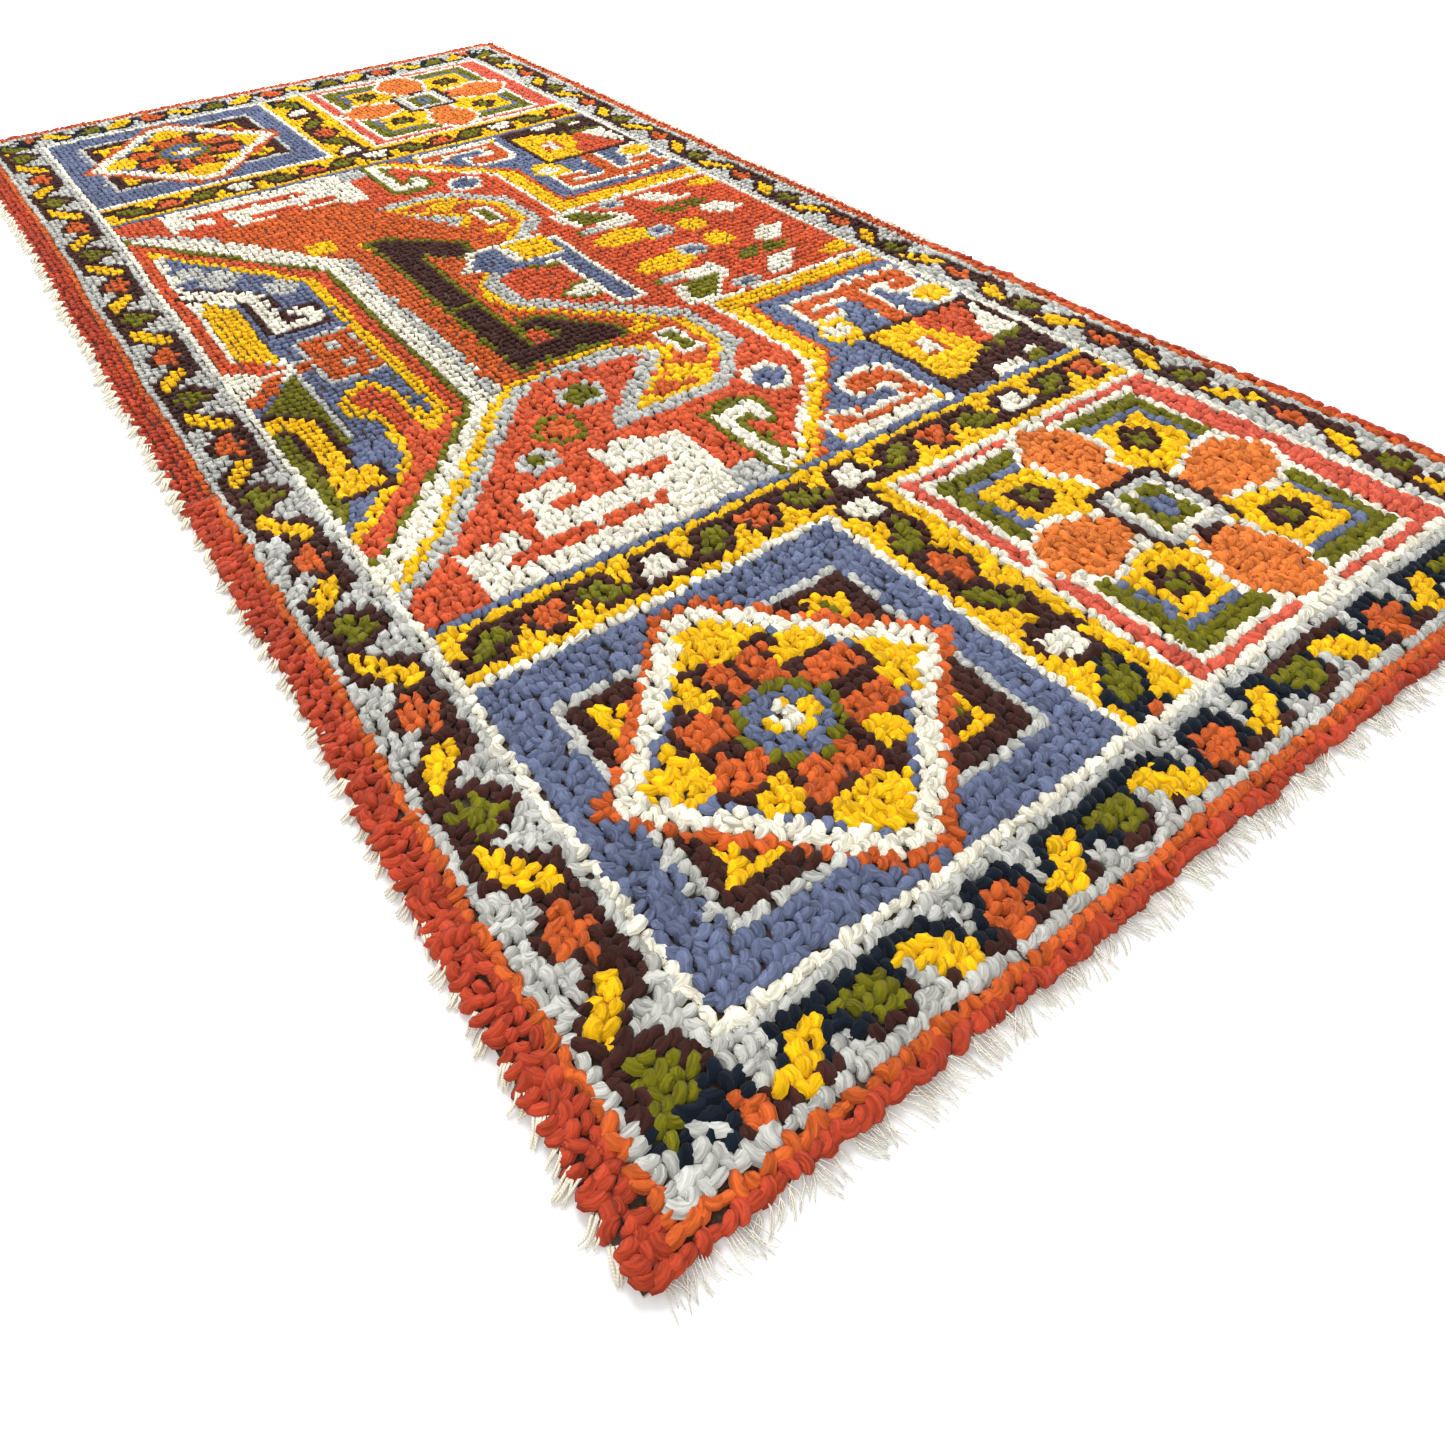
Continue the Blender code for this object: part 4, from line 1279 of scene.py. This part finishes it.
@dataclass
class Tufting:
    """Points that each carry one tuft, and the node tree that grows them."""

    spots: np.ndarray             # X, Y and Z of each root
    turns: np.ndarray             # tilt about X and Y, and turn about Z
    sizes: np.ndarray             # scale of each tuft along its own axes
    shades: np.ndarray            # a tone from 0 to 1 for each tuft
    colours: np.ndarray | None = None

    def cloud(self, name: str) -> bpy.types.Object:
        """Makes a mesh of loose points that hold every tuft's facts."""
        mesh = bpy.data.meshes.new(name)
        mesh.from_pydata([tuple(spot) for spot in self.spots], [], [])
        facts = [
            ("turn", "FLOAT_VECTOR", "vector", self.turns),
            ("size", "FLOAT_VECTOR", "vector", self.sizes),
            ("shade", "FLOAT", "value", self.shades),
        ]
        if self.colours is not None:
            facts.append(("yarn", "FLOAT_COLOR", "color", self.colours))
        for label, kind, slot, values in facts:
            layer = mesh.attributes.new(label, kind, "POINT")
            layer.data.foreach_set(slot, np.ascontiguousarray(values, np.float32).ravel())
        return link_object(name, mesh)

    @staticmethod
    def tree() -> bpy.types.NodeTree:
        """Builds the tree that puts a template on every point and joins the lot."""
        tree = bpy.data.node_groups.new("tufting", "GeometryNodeTree")
        for label, kind in (("Roots", "Geometry"), ("Templates", "Collection"), ("Variants", "Int"),
                            ("Seed", "Int"), ("Fullness", "Float"), ("Finish", "Material")):
            tree.interface.new_socket(name=label, in_out="INPUT", socket_type="NodeSocket" + kind)
        tree.interface.new_socket(name="Tufts", in_out="OUTPUT", socket_type="NodeSocketGeometry")
        given = add_node(tree, "NodeGroupInput")
        turn = add_node(tree, "GeometryNodeInputNamedAttribute", {"data_type": "FLOAT_VECTOR"}, Name="turn")
        size = add_node(tree, "GeometryNodeInputNamedAttribute", {"data_type": "FLOAT_VECTOR"}, Name="size")
        full = add_node(tree, "ShaderNodeVectorMath", {"operation": "SCALE"},
                        {"Vector": size.outputs["Attribute"], "Scale": given.outputs["Fullness"]})
        turned = add_node(tree, "FunctionNodeEulerToRotation", None, {0: turn.outputs["Attribute"]})
        stock = add_node(tree, "GeometryNodeCollectionInfo", None,
                         {"Collection": given.outputs["Templates"], "Separate Children": True,
                          "Reset Children": True})
        last = add_node(tree, "ShaderNodeMath", {"operation": "SUBTRACT"},
                        {0: given.outputs["Variants"], 1: 1.0})
        pick = add_node(tree, "FunctionNodeRandomValue", {"data_type": "INT"})
        tree.links.new(last.outputs[0], pick.inputs[5])
        tree.links.new(given.outputs["Seed"], pick.inputs["Seed"])
        placed = add_node(tree, "GeometryNodeInstanceOnPoints", None,
                          {"Points": given.outputs["Roots"], "Instance": stock.outputs[0],
                           "Pick Instance": True, "Instance Index": pick.outputs[2],
                           "Rotation": turned.outputs[0], "Scale": full.outputs[0]})
        joined = add_node(tree, "GeometryNodeRealizeInstances", None, Geometry=placed.outputs[0])
        dressed = add_node(tree, "GeometryNodeSetMaterial", None, Geometry=joined.outputs[0],
                           Material=given.outputs["Finish"])
        add_node(tree, "NodeGroupOutput", None, {0: dressed.outputs[0]})
        return tree

    def grow(self, name: str, templates: bpy.types.Collection, finish: bpy.types.Material, seed: int,
             tree: bpy.types.NodeTree) -> bpy.types.Object:
        """Grows the tufts and turns them into one plain mesh.

        Args:
            name: The finished piece's name.
            templates: The collection of templates to pick from.
            finish: The material of the tufts.
            seed: Which template goes where.
            tree: The tree from tree().

        Returns:
            The finished piece, at the origin.
        """
        cloud = self.cloud(name + "_roots")
        modifier = cloud.modifiers.new("tufting", "NODES")
        modifier.node_group = tree
        values = {"Templates": templates, "Variants": len(templates.objects), "Seed": seed, "Fullness": 1.0,
                  "Finish": finish}
        for item in tree.interface.items_tree:
            if item.name in values:
                modifier[item.identifier] = values[item.name]
        depsgraph = bpy.context.evaluated_depsgraph_get()
        mesh = bpy.data.meshes.new_from_object(cloud.evaluated_get(depsgraph), depsgraph=depsgraph)
        mesh.name = name
        cloud_mesh = cloud.data
        bpy.data.objects.remove(cloud)
        bpy.data.meshes.remove(cloud_mesh)
        self.spread_map(mesh)
        return link_object(name, mesh)

    def spread_map(self, mesh: bpy.types.Mesh, margin: float = 0.05) -> None:
        """Gives every tuft its own cell of the unwrapped map and drops what only the tree needed."""
        count = len(self.spots)
        across = math.ceil(math.sqrt(count))
        corners = len(mesh.loops)
        layer = mesh.uv_layers["OFBake"]
        flat = np.empty(corners * 2, np.float32)
        layer.data.foreach_get("uv", flat)
        flat = flat.reshape(-1, 2)
        tuft = np.arange(corners) // (corners // count)
        cell = np.stack([tuft % across, tuft // across], axis=-1)
        flat = (cell + margin + flat * (1 - 2 * margin)) / across
        layer.data.foreach_set("uv", flat.astype(np.float32).ravel())
        for label in ("turn", "size"):
            if label in mesh.attributes:
                mesh.attributes.remove(mesh.attributes[label])


def template_stock(name: str) -> bpy.types.Collection:
    """Makes an empty collection for templates, linked so that the node tree can read it."""
    stock = bpy.data.collections.new(name)
    bpy.context.scene.collection.children.link(stock)
    return stock


def clear_stock(stock: bpy.types.Collection) -> None:
    """Removes a collection of templates with its objects and meshes."""
    for item in list(stock.objects):
        mesh = item.data
        bpy.data.objects.remove(item)
        bpy.data.meshes.remove(mesh)
    bpy.data.collections.remove(stock)


@dataclass(frozen=True)
class Pile:
    """The knotted pile, in bands of rows."""

    shape: RugShape
    plan: KnotPlan
    seed: int = 23
    sunk: float = 0.8 * MM            # how deep a root sits in the ground
    styles: tuple[CurlStyle, ...] = (
        CurlStyle("pile_1", (0, 20), 5, 6),
        CurlStyle("pile_2", (20, 40), 5, 6),
        CurlStyle("pile_3", (40, 84), 4, 4, width=13.4 * MM),
        CurlStyle("pile_4", (84, 156), 4, 2, (0.2, 1.2), length=13.0 * MM, width=13.0 * MM),
        CurlStyle("pile_5", (156, 214), 4, 2, (0.2, 1.2), length=13.0 * MM, width=13.0 * MM),
    )
    strays: Point = (0.09, 0.08)      # of a root across and along, in knots
    insets: Point = (0.002, 0.001)    # least share of the width and the length from an edge to a root
    lie: float = -0.30                # the curls' turn about the upright, towards the left side
    left_lie: Point = (-0.75, 5.0)    # turn added at the left side, and the columns over which it fades
    right_lie: Point = (0.9, 1.5)     # the same at the right side
    corner_tangle: Point = (30.0, 40.0)   # columns and rows over which the near left corner's tangle fades
    corner_fade: float = 1.3
    side_tangle: Point = (14.0, 70.0)     # columns and rows over which the left side's tangle fades
    side_share: float = 0.6               # of the side's tangle against the corner's
    uneven_turn: float = 0.26             # of a curl about the upright, in radians
    tangled_turn: float = 1.15            # the most that tangling adds to it
    uneven_tilt: float = 0.10             # of a curl along the rug, in radians
    tangled_tilt: float = 0.18            # what tangling adds to it
    uneven_roll: float = 0.14             # of a curl across the rug, in radians
    uneven_size: float = 0.08             # of a curl's length and width, as a share
    uneven_height: float = 0.09
    size_limits: Point = (0.75, 1.35)
    swell: float = 0.07                   # of the pile's height from place to place
    swell_pace: Point = (17.0, 13.0)      # of the swell across and along, in radians a metre

    def wildness(self, column: np.ndarray, row: np.ndarray) -> np.ndarray:
        """How tangled the pile lies, from 0 to 1: most near the left corner of the near end."""
        off = np.hypot(column / self.corner_tangle[0], row / self.corner_tangle[1])
        fade = np.exp(-column / self.side_tangle[0]) * np.exp(-row / self.side_tangle[1])
        return np.clip(np.exp(-off * self.corner_fade) + fade * self.side_share, 0.0, 1.0)

    def tufting(self, rows: tuple[int, int]) -> Tufting:
        """Works out every curl's place, lean and size for a band of rows."""
        chance = np.random.default_rng(self.seed + rows[0])
        row, column = (part.ravel() for part in np.mgrid[rows[0]:rows[1], 0:self.plan.columns])
        count = len(row)
        across = (column + 0.5 + chance.normal(0.0, self.strays[0], count)) / self.plan.columns
        along = (row + 0.5 + chance.normal(0.0, self.strays[1], count)) / self.plan.rows
        flat = self.shape.points(np.clip(across, self.insets[0], 1.0 - self.insets[0]),
                                 np.clip(along, self.insets[1], 1.0 - self.insets[1]))
        wild = self.wildness(column, row)
        from_right = self.plan.columns - 1 - column
        lie = (self.lie + self.left_lie[0] * np.exp(-column / self.left_lie[1])
               + self.right_lie[0] * np.exp(-from_right / self.right_lie[1]))
        turn = (lie + chance.normal(0.0, self.uneven_turn, count)
                + wild * chance.uniform(-self.tangled_turn, self.tangled_turn, count))
        last = row == self.plan.rows - 1    # these lie out over the far end
        turn = np.where(last, math.pi + chance.normal(0.0, 0.4, count), turn)
        tilt = (chance.normal(0.0, self.uneven_tilt, count)
                + wild * chance.normal(0.0, self.tangled_tilt, count))
        roll = chance.normal(0.0, self.uneven_roll, count)
        waves = np.sin(flat[:, 0] * self.swell_pace[0] + 1.0) * np.sin(flat[:, 1] * self.swell_pace[1])
        long = chance.normal(1.0, self.uneven_size, count) + wild * chance.uniform(-0.05, 0.32, count)
        wide = chance.normal(1.0, self.uneven_size, count)
        high = (1.0 + self.swell * waves) * chance.normal(1.0, self.uneven_height, count)
        spots = np.column_stack([flat, np.full(count, self.shape.ground - self.sunk)])
        sizes = np.clip(np.column_stack([wide, long, high]), *self.size_limits)
        turns = np.column_stack([tilt, roll, turn])
        shades = chance.uniform(0.0, 1.0, count)
        return Tufting(spots, turns, sizes, shades, self.plan.colours()[row, column])

    def build(self, finish: bpy.types.Material, tree: bpy.types.NodeTree) -> list[bpy.types.Object]:
        """Grows every band of the pile."""
        made = []
        for number, style in enumerate(self.styles):
            stock = template_stock(style.name + "_curls")
            chance = np.random.default_rng(self.seed * 10 + number)
            for variant in range(style.variants):
                style.template(f"{style.name}_curl_{variant:02d}", stock, chance)
            made.append(self.tufting(style.rows).grow(style.name, stock, finish, self.seed + number, tree))
            clear_stock(stock)
            log.info("%s: %d faces", style.name, len(made[-1].data.polygons))
        return made


@dataclass(frozen=True)
class GroundCloth:
    """The woven ground: one closed sheet whose underside shows the pattern."""

    shape: RugShape
    plan: KnotPlan
    name: str = "woven_cloth"
    painted_shade_tone: str = "#54443A"      # painted shade: the ground's top between the roots, coloured dark as if in deep shade
    rim_tone: str = "#D9CDB2"
    half_map: Point = (0.46, 0.96)    # size of the underside, and of the top, in the unwrapped map
    top_start: float = 0.48           # where the top begins in it
    edge_strip: Point = (0.955, 0.985)    # where the edge lies in it

    def build(self, finish: bpy.types.Material) -> bpy.types.Object:
        """Makes the sheet: one face for each knot below, and plain strips above, under the pile."""
        columns, rows = self.plan.columns, self.plan.rows
        row, column = np.mgrid[0:rows + 1, 0:columns + 1]
        corner = row * (columns + 1) + column
        count = corner.size
        ring = np.concatenate([corner[0, :-1], corner[:-1, -1], corner[-1, :0:-1], corner[:0:-1, 0]])
        grid = np.concatenate([corner.ravel(), ring])
        row, column = row.ravel()[grid], column.ravel()[grid]
        flat = self.shape.points(column / columns, row / rows)
        height = np.where(np.arange(len(grid)) < count, 0.0, self.shape.ground)
        below = np.stack([corner[:-1, :-1], corner[1:, :-1], corner[1:, 1:], corner[:-1, 1:]], -1)
        below = below.reshape(-1, 4)
        upper = count + np.arange(len(ring))
        walls = np.stack([ring, np.roll(ring, -1), np.roll(upper, -1), upper], -1)
        right = upper[columns:columns + rows + 1]
        left = np.roll(upper[::-1], 1)[:rows + 1]
        near = [*upper[:columns + 1], right[1], left[1]]
        far = [*upper[columns + rows:2 * columns + rows + 1], left[rows - 1], right[rows - 1]]
        strips = [[left[step], right[step], right[step + 1], left[step + 1]] for step in range(1, rows - 1)]
        faces = [*below.tolist(), *walls.tolist(), near, *strips, far]
        mesh = bpy.data.meshes.new(self.name)
        mesh.from_pydata(np.column_stack([flat, height]).tolist(), [], faces)
        self.paint(mesh, len(below), len(walls))
        self.map(mesh, row, column, len(below), len(walls))
        mesh.materials.append(finish)
        log.info("%s: %d faces", self.name, len(mesh.polygons))
        return link_object(self.name, mesh)

    def paint(self, mesh: bpy.types.Mesh, below: int, walls: int) -> None:
        """Gives every face below its knot's colour, the edge a cream one and the top a dark painted shade.
        """
        # Painted shade: the top, seen only between the roots, is coloured dark
        tones = np.tile(linear_colour(self.painted_shade_tone), (len(mesh.loops), 1))
        tones[:below * 4] = np.repeat(self.plan.colours().reshape(-1, 4), 4, axis=0)
        tones[below * 4:(below + walls) * 4] = linear_colour(self.rim_tone)
        layer = mesh.attributes.new("yarn", "FLOAT_COLOR", "CORNER")
        layer.data.foreach_set("color", tones.astype(np.float32).ravel())

    def map(self, mesh: bpy.types.Mesh, row: np.ndarray, column: np.ndarray, below: int, walls: int) -> None:
        """Lays the weave's map, in knots, and the unwrapped map: underside, top and edge apart."""
        place = np.empty(len(mesh.loops), np.int32)
        mesh.loops.foreach_get("vertex_index", place)
        knot = np.stack([column[place], row[place]], -1).astype(float)
        mesh.uv_layers.new(name="cloth").data.foreach_set("uv", knot.astype(np.float32).ravel())
        share = knot / (self.plan.columns, self.plan.rows)
        flat = share * self.half_map
        flat[(below + walls) * 4:, 0] += self.top_start
        spare = np.arange(walls * 4)
        flat[below * 4 + spare, 0] = np.where(spare % 4 < 2, *self.edge_strip)
        flat[below * 4 + spare, 1] = (spare // 4 + np.isin(spare % 4, (1, 2))) / walls
        mesh.uv_layers.new(name="OFBake").data.foreach_set("uv", flat.astype(np.float32).ravel())


@dataclass(frozen=True)
class LooseYarns:
    """Bunches of loose yarn ends along one edge of the rug, each strand a soft thin line."""

    shape: RugShape
    side: Side
    seed: int
    name: str
    bunches: int
    strands: int                      # in one bunch
    sides: int
    steps: int
    length: float                     # from the ground's edge
    yarn: float                       # thickness of one strand
    gather: float                     # between strands where they come out
    fan: float                        # between strands at their tips
    slant: float                      # how far a bunch leans along the edge, in radians
    rise: float                       # height where the strands come out
    unruly: float = 0.25              # how much bunches and strands stray from their line, in radians
    sunk: float = 6 * MM              # how far a strand starts inside the edge
    variants: int = 10
    lengths: Point = (0.72, 1.06)     # of the shortest strand and the longest one, as shares
    kinks: float = 6.5                # pace of a strand's bends, in radians over its length
    taper: tuple[Sequence[float], ...] = ((0.0, 0.75, 1.0), (1.0, 0.95, 0.45))
    corner_gap: float = 0.008         # share of the edge that stays free at each corner

    def template(self, name: str, home: bpy.types.Collection, chance: np.random.Generator) -> None:
        """Makes a bunch that runs out towards -Y, spreads and comes down to the floor."""
        mesh = YarnMesh(self.sides, self.strands)
        bow = chance.normal(0.0, self.unruly * 2.0)
        full = self.length + self.sunk
        for strand in range(self.strands):
            place = strand - (self.strands - 1) / 2
            length = full * chance.uniform(*self.lengths)
            spread = math.atan(place * (self.fan - self.gather) / full)
            heading = spread + chance.normal(0.0, self.unruly / 2)
            phase, reach = chance.uniform(0.0, math.tau), chance.uniform(0.1, 0.5) * self.unruly * 2.4
            spot = Vector((place * self.gather, self.sunk, self.rise))
            line = [spot.copy()]
            for step in range(self.steps):
                share = (step + 0.5) / self.steps
                turn = heading + bow * share * share + reach * math.sin(phase + self.kinks * share)
                run = Vector((math.sin(turn), -math.cos(turn), 0.0)) * length / self.steps
                spot = spot + run
                down = self.rise * (1.0 - share ** 1.5) + chance.uniform(0.0, 0.8) * MM
                spot.z = max(down, self.yarn * 0.55)
                line.append(spot.copy())
            thin = list(self.yarn * np.interp(np.linspace(0, 1, self.steps + 1), *self.taper))
            mesh.add_strand(line, thin, thin)
        mesh.build(name, home)

    def build(self, finish: bpy.types.Material, tree: bpy.types.NodeTree) -> bpy.types.Object:
        """Grows the bunches along their edge of the rug."""
        chance = np.random.default_rng(self.seed)
        stock = template_stock(self.name + "_bunches")
        for variant in range(self.variants):
            self.template(f"{self.name}_bunch_{variant:02d}", stock, chance)
        count = self.bunches
        share = (np.arange(count) + 0.5 + chance.uniform(-0.25, 0.25, count)) / count
        share = self.corner_gap + (1.0 - 2.0 * self.corner_gap) * share
        flat = self.shape.edge(self.side, share)
        out = self.shape.outward(self.side, share)
        turn = np.arctan2(out[:, 0], -out[:, 1]) + self.slant + chance.normal(0.0, self.unruly, count)
        none = np.zeros(count)
        size = chance.uniform(0.80, 1.06, count)
        made = Tufting(
            spots=np.column_stack([flat, none]),
            turns=np.column_stack([none, none, turn]),
            sizes=np.column_stack([chance.uniform(0.8, 1.2, count), size, np.ones(count)]),
            shades=chance.uniform(0.0, 1.0, count),
        ).grow(self.name, stock, finish, self.seed, tree)
        clear_stock(stock)
        log.info("%s: %d faces", self.name, len(made.data.polygons))
        return made


def warp_fringe(shape: RugShape, side: Side, seed: int) -> LooseYarns:
    """The cut warp ends that stick out from under an end of the rug: fine, curly and fanned out."""
    return LooseYarns(shape, side, seed, f"warp_fringe_{side.value}",
                      bunches=84, strands=6, sides=3, steps=6, length=29 * MM, yarn=1.5 * MM,
                      gather=1.4 * MM, fan=3.2 * MM, slant=0.0, rise=3.6 * MM, unruly=0.26)


def weft_tufts(shape: RugShape, side: Side, seed: int) -> LooseYarns:
    """The short thick weft ends along one side, which all lean towards the near end."""
    slant = 0.75 if side is Side.LEFT else -0.75
    return LooseYarns(shape, side, seed, f"weft_ends_{side.value}",
                      bunches=104, strands=5, sides=4, steps=5, length=18 * MM, yarn=2.5 * MM,
                      gather=2.3 * MM, fan=2.6 * MM, slant=slant, rise=6.0 * MM, unruly=0.20, sunk=5 * MM)


@dataclass(frozen=True)
class Softbox:
    """A round soft light that looks at the middle of the rug."""

    name: str
    spot: tuple[float, float, float]
    size: float                       # across
    power: float                      # in watts

    def build(self) -> None:
        """Hangs the light."""
        data = bpy.data.lights.new(self.name, "AREA")
        data.shape = "DISK"
        data.size = self.size
        data.energy = self.power
        light = link_object(self.name, data)
        light.location = self.spot
        light.rotation_euler = (-Vector(self.spot)).to_track_quat("-Z", "Y").to_euler()


@dataclass(frozen=True)
class Studio:
    """The floor, the soft light and the camera."""

    camera_spot: tuple[float, float, float] = (-0.7002, -1.4921, 0.7075)
    right: tuple[float, float, float] = (0.811732, -0.583658, -0.020835)
    up: tuple[float, float, float] = (0.430741, 0.574205, 0.696241)
    lens: float = 26.55               # in millimetres
    shift: float = 0.0035             # of the picture's width
    nearest: float = 0.01             # what the camera sees begins here
    floor_drop: float = 0.2 * MM      # of the floor below the rug's underside
    floor_half: float = 30.0          # half the floor's width
    room_light: float = 0.80
    softboxes: tuple[Softbox, ...] = (
        Softbox("overhead_softbox", (0.9, 1.6, 2.6), 2.4, 120.0),
        Softbox("front_softbox", (-2.2, -2.6, 2.2), 2.0, 28.0),
    )

    def build(self, finish: bpy.types.Material) -> None:
        """Sets up everything that is not part of the rug."""
        self.build_floor(finish)
        self.build_camera()
        self.build_lights()

    def build_floor(self, finish: bpy.types.Material) -> None:
        """Lays a wide plain floor just under the rug."""
        mesh = bpy.data.meshes.new("floor")
        half = self.floor_half
        corners = ((-half, -half), (half, -half), (half, half), (-half, half))
        mesh.from_pydata([(x, y, -self.floor_drop) for x, y in corners], [], [(0, 1, 2, 3)])
        mesh.materials.append(finish)
        floor = link_object("floor", mesh)

    def build_camera(self) -> None:
        """Places the camera low over the near left corner."""
        data = bpy.data.cameras.new("camera")
        data.lens = self.lens
        data.shift_x = self.shift
        data.clip_start = self.nearest
        camera = link_object("camera", data)
        right, up = Vector(self.right).normalized(), Vector(self.up).normalized()
        back = right.cross(up).normalized()
        up = back.cross(right)
        turn = Matrix((right, up, back)).transposed().to_4x4()
        camera.matrix_world = Matrix.Translation(self.camera_spot) @ turn
        bpy.context.scene.camera = camera

    def build_lights(self) -> None:
        """Hangs a large soft light over the far side and a weaker one in front, in an evenly lit room."""
        for softbox in self.softboxes:
            softbox.build()
        world = bpy.data.worlds.new("studio")
        world.use_nodes = True
        shade = world.node_tree.nodes["Background"]
        shade.inputs["Color"].default_value = (1.0, 1.0, 1.0, 1.0)
        shade.inputs["Strength"].default_value = self.room_light
        bpy.context.scene.world = world
        bpy.context.scene.view_settings.view_transform = "Standard"


def ride_on_rug(piece: bpy.types.Object, node: str) -> None:
    """Fixes a finished piece to the rug's only body and hides the solid that it stands for."""
    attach(piece, "root")
    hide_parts(node)


def main() -> None:
    """Builds the rug, piece by piece, and the studio round it."""
    shape = RugShape()
    plan = knotted_plan()
    log.info("pattern: %d columns, %d rows", plan.columns, plan.rows)
    Studio().build(PaleFloor().build())
    tree = Tufting.tree()
    cloth = GroundCloth(shape, plan).build(WovenBack().build())
    bands = Pile(shape, plan).build(WoolPile().build(), tree)
    warp, weft = UndyedYarn("warp_yarn_ends").build(), UndyedYarn("weft_yarn_ends", "#F6EDD6").build()
    fringes = [warp_fringe(shape, side, seed).build(warp, tree)
               for side, seed in ((Side.NEAR, 31), (Side.FAR, 32))]
    tufts = [weft_tufts(shape, side, seed).build(weft, tree)
             for side, seed in ((Side.LEFT, 41), (Side.RIGHT, 42))]
    for piece in (cloth, *bands):
        ride_on_rug(piece, "rug")
    for piece, side in zip(fringes, ("near", "far")):
        ride_on_rug(piece, f"fringe_{side}")
    for piece, side in zip(tufts, ("left", "right")):
        ride_on_rug(piece, f"weft_tufts_{side}")


if __name__ == "__main__":
    logging.basicConfig(level=logging.INFO, format="%(name)s: %(message)s")
    main()
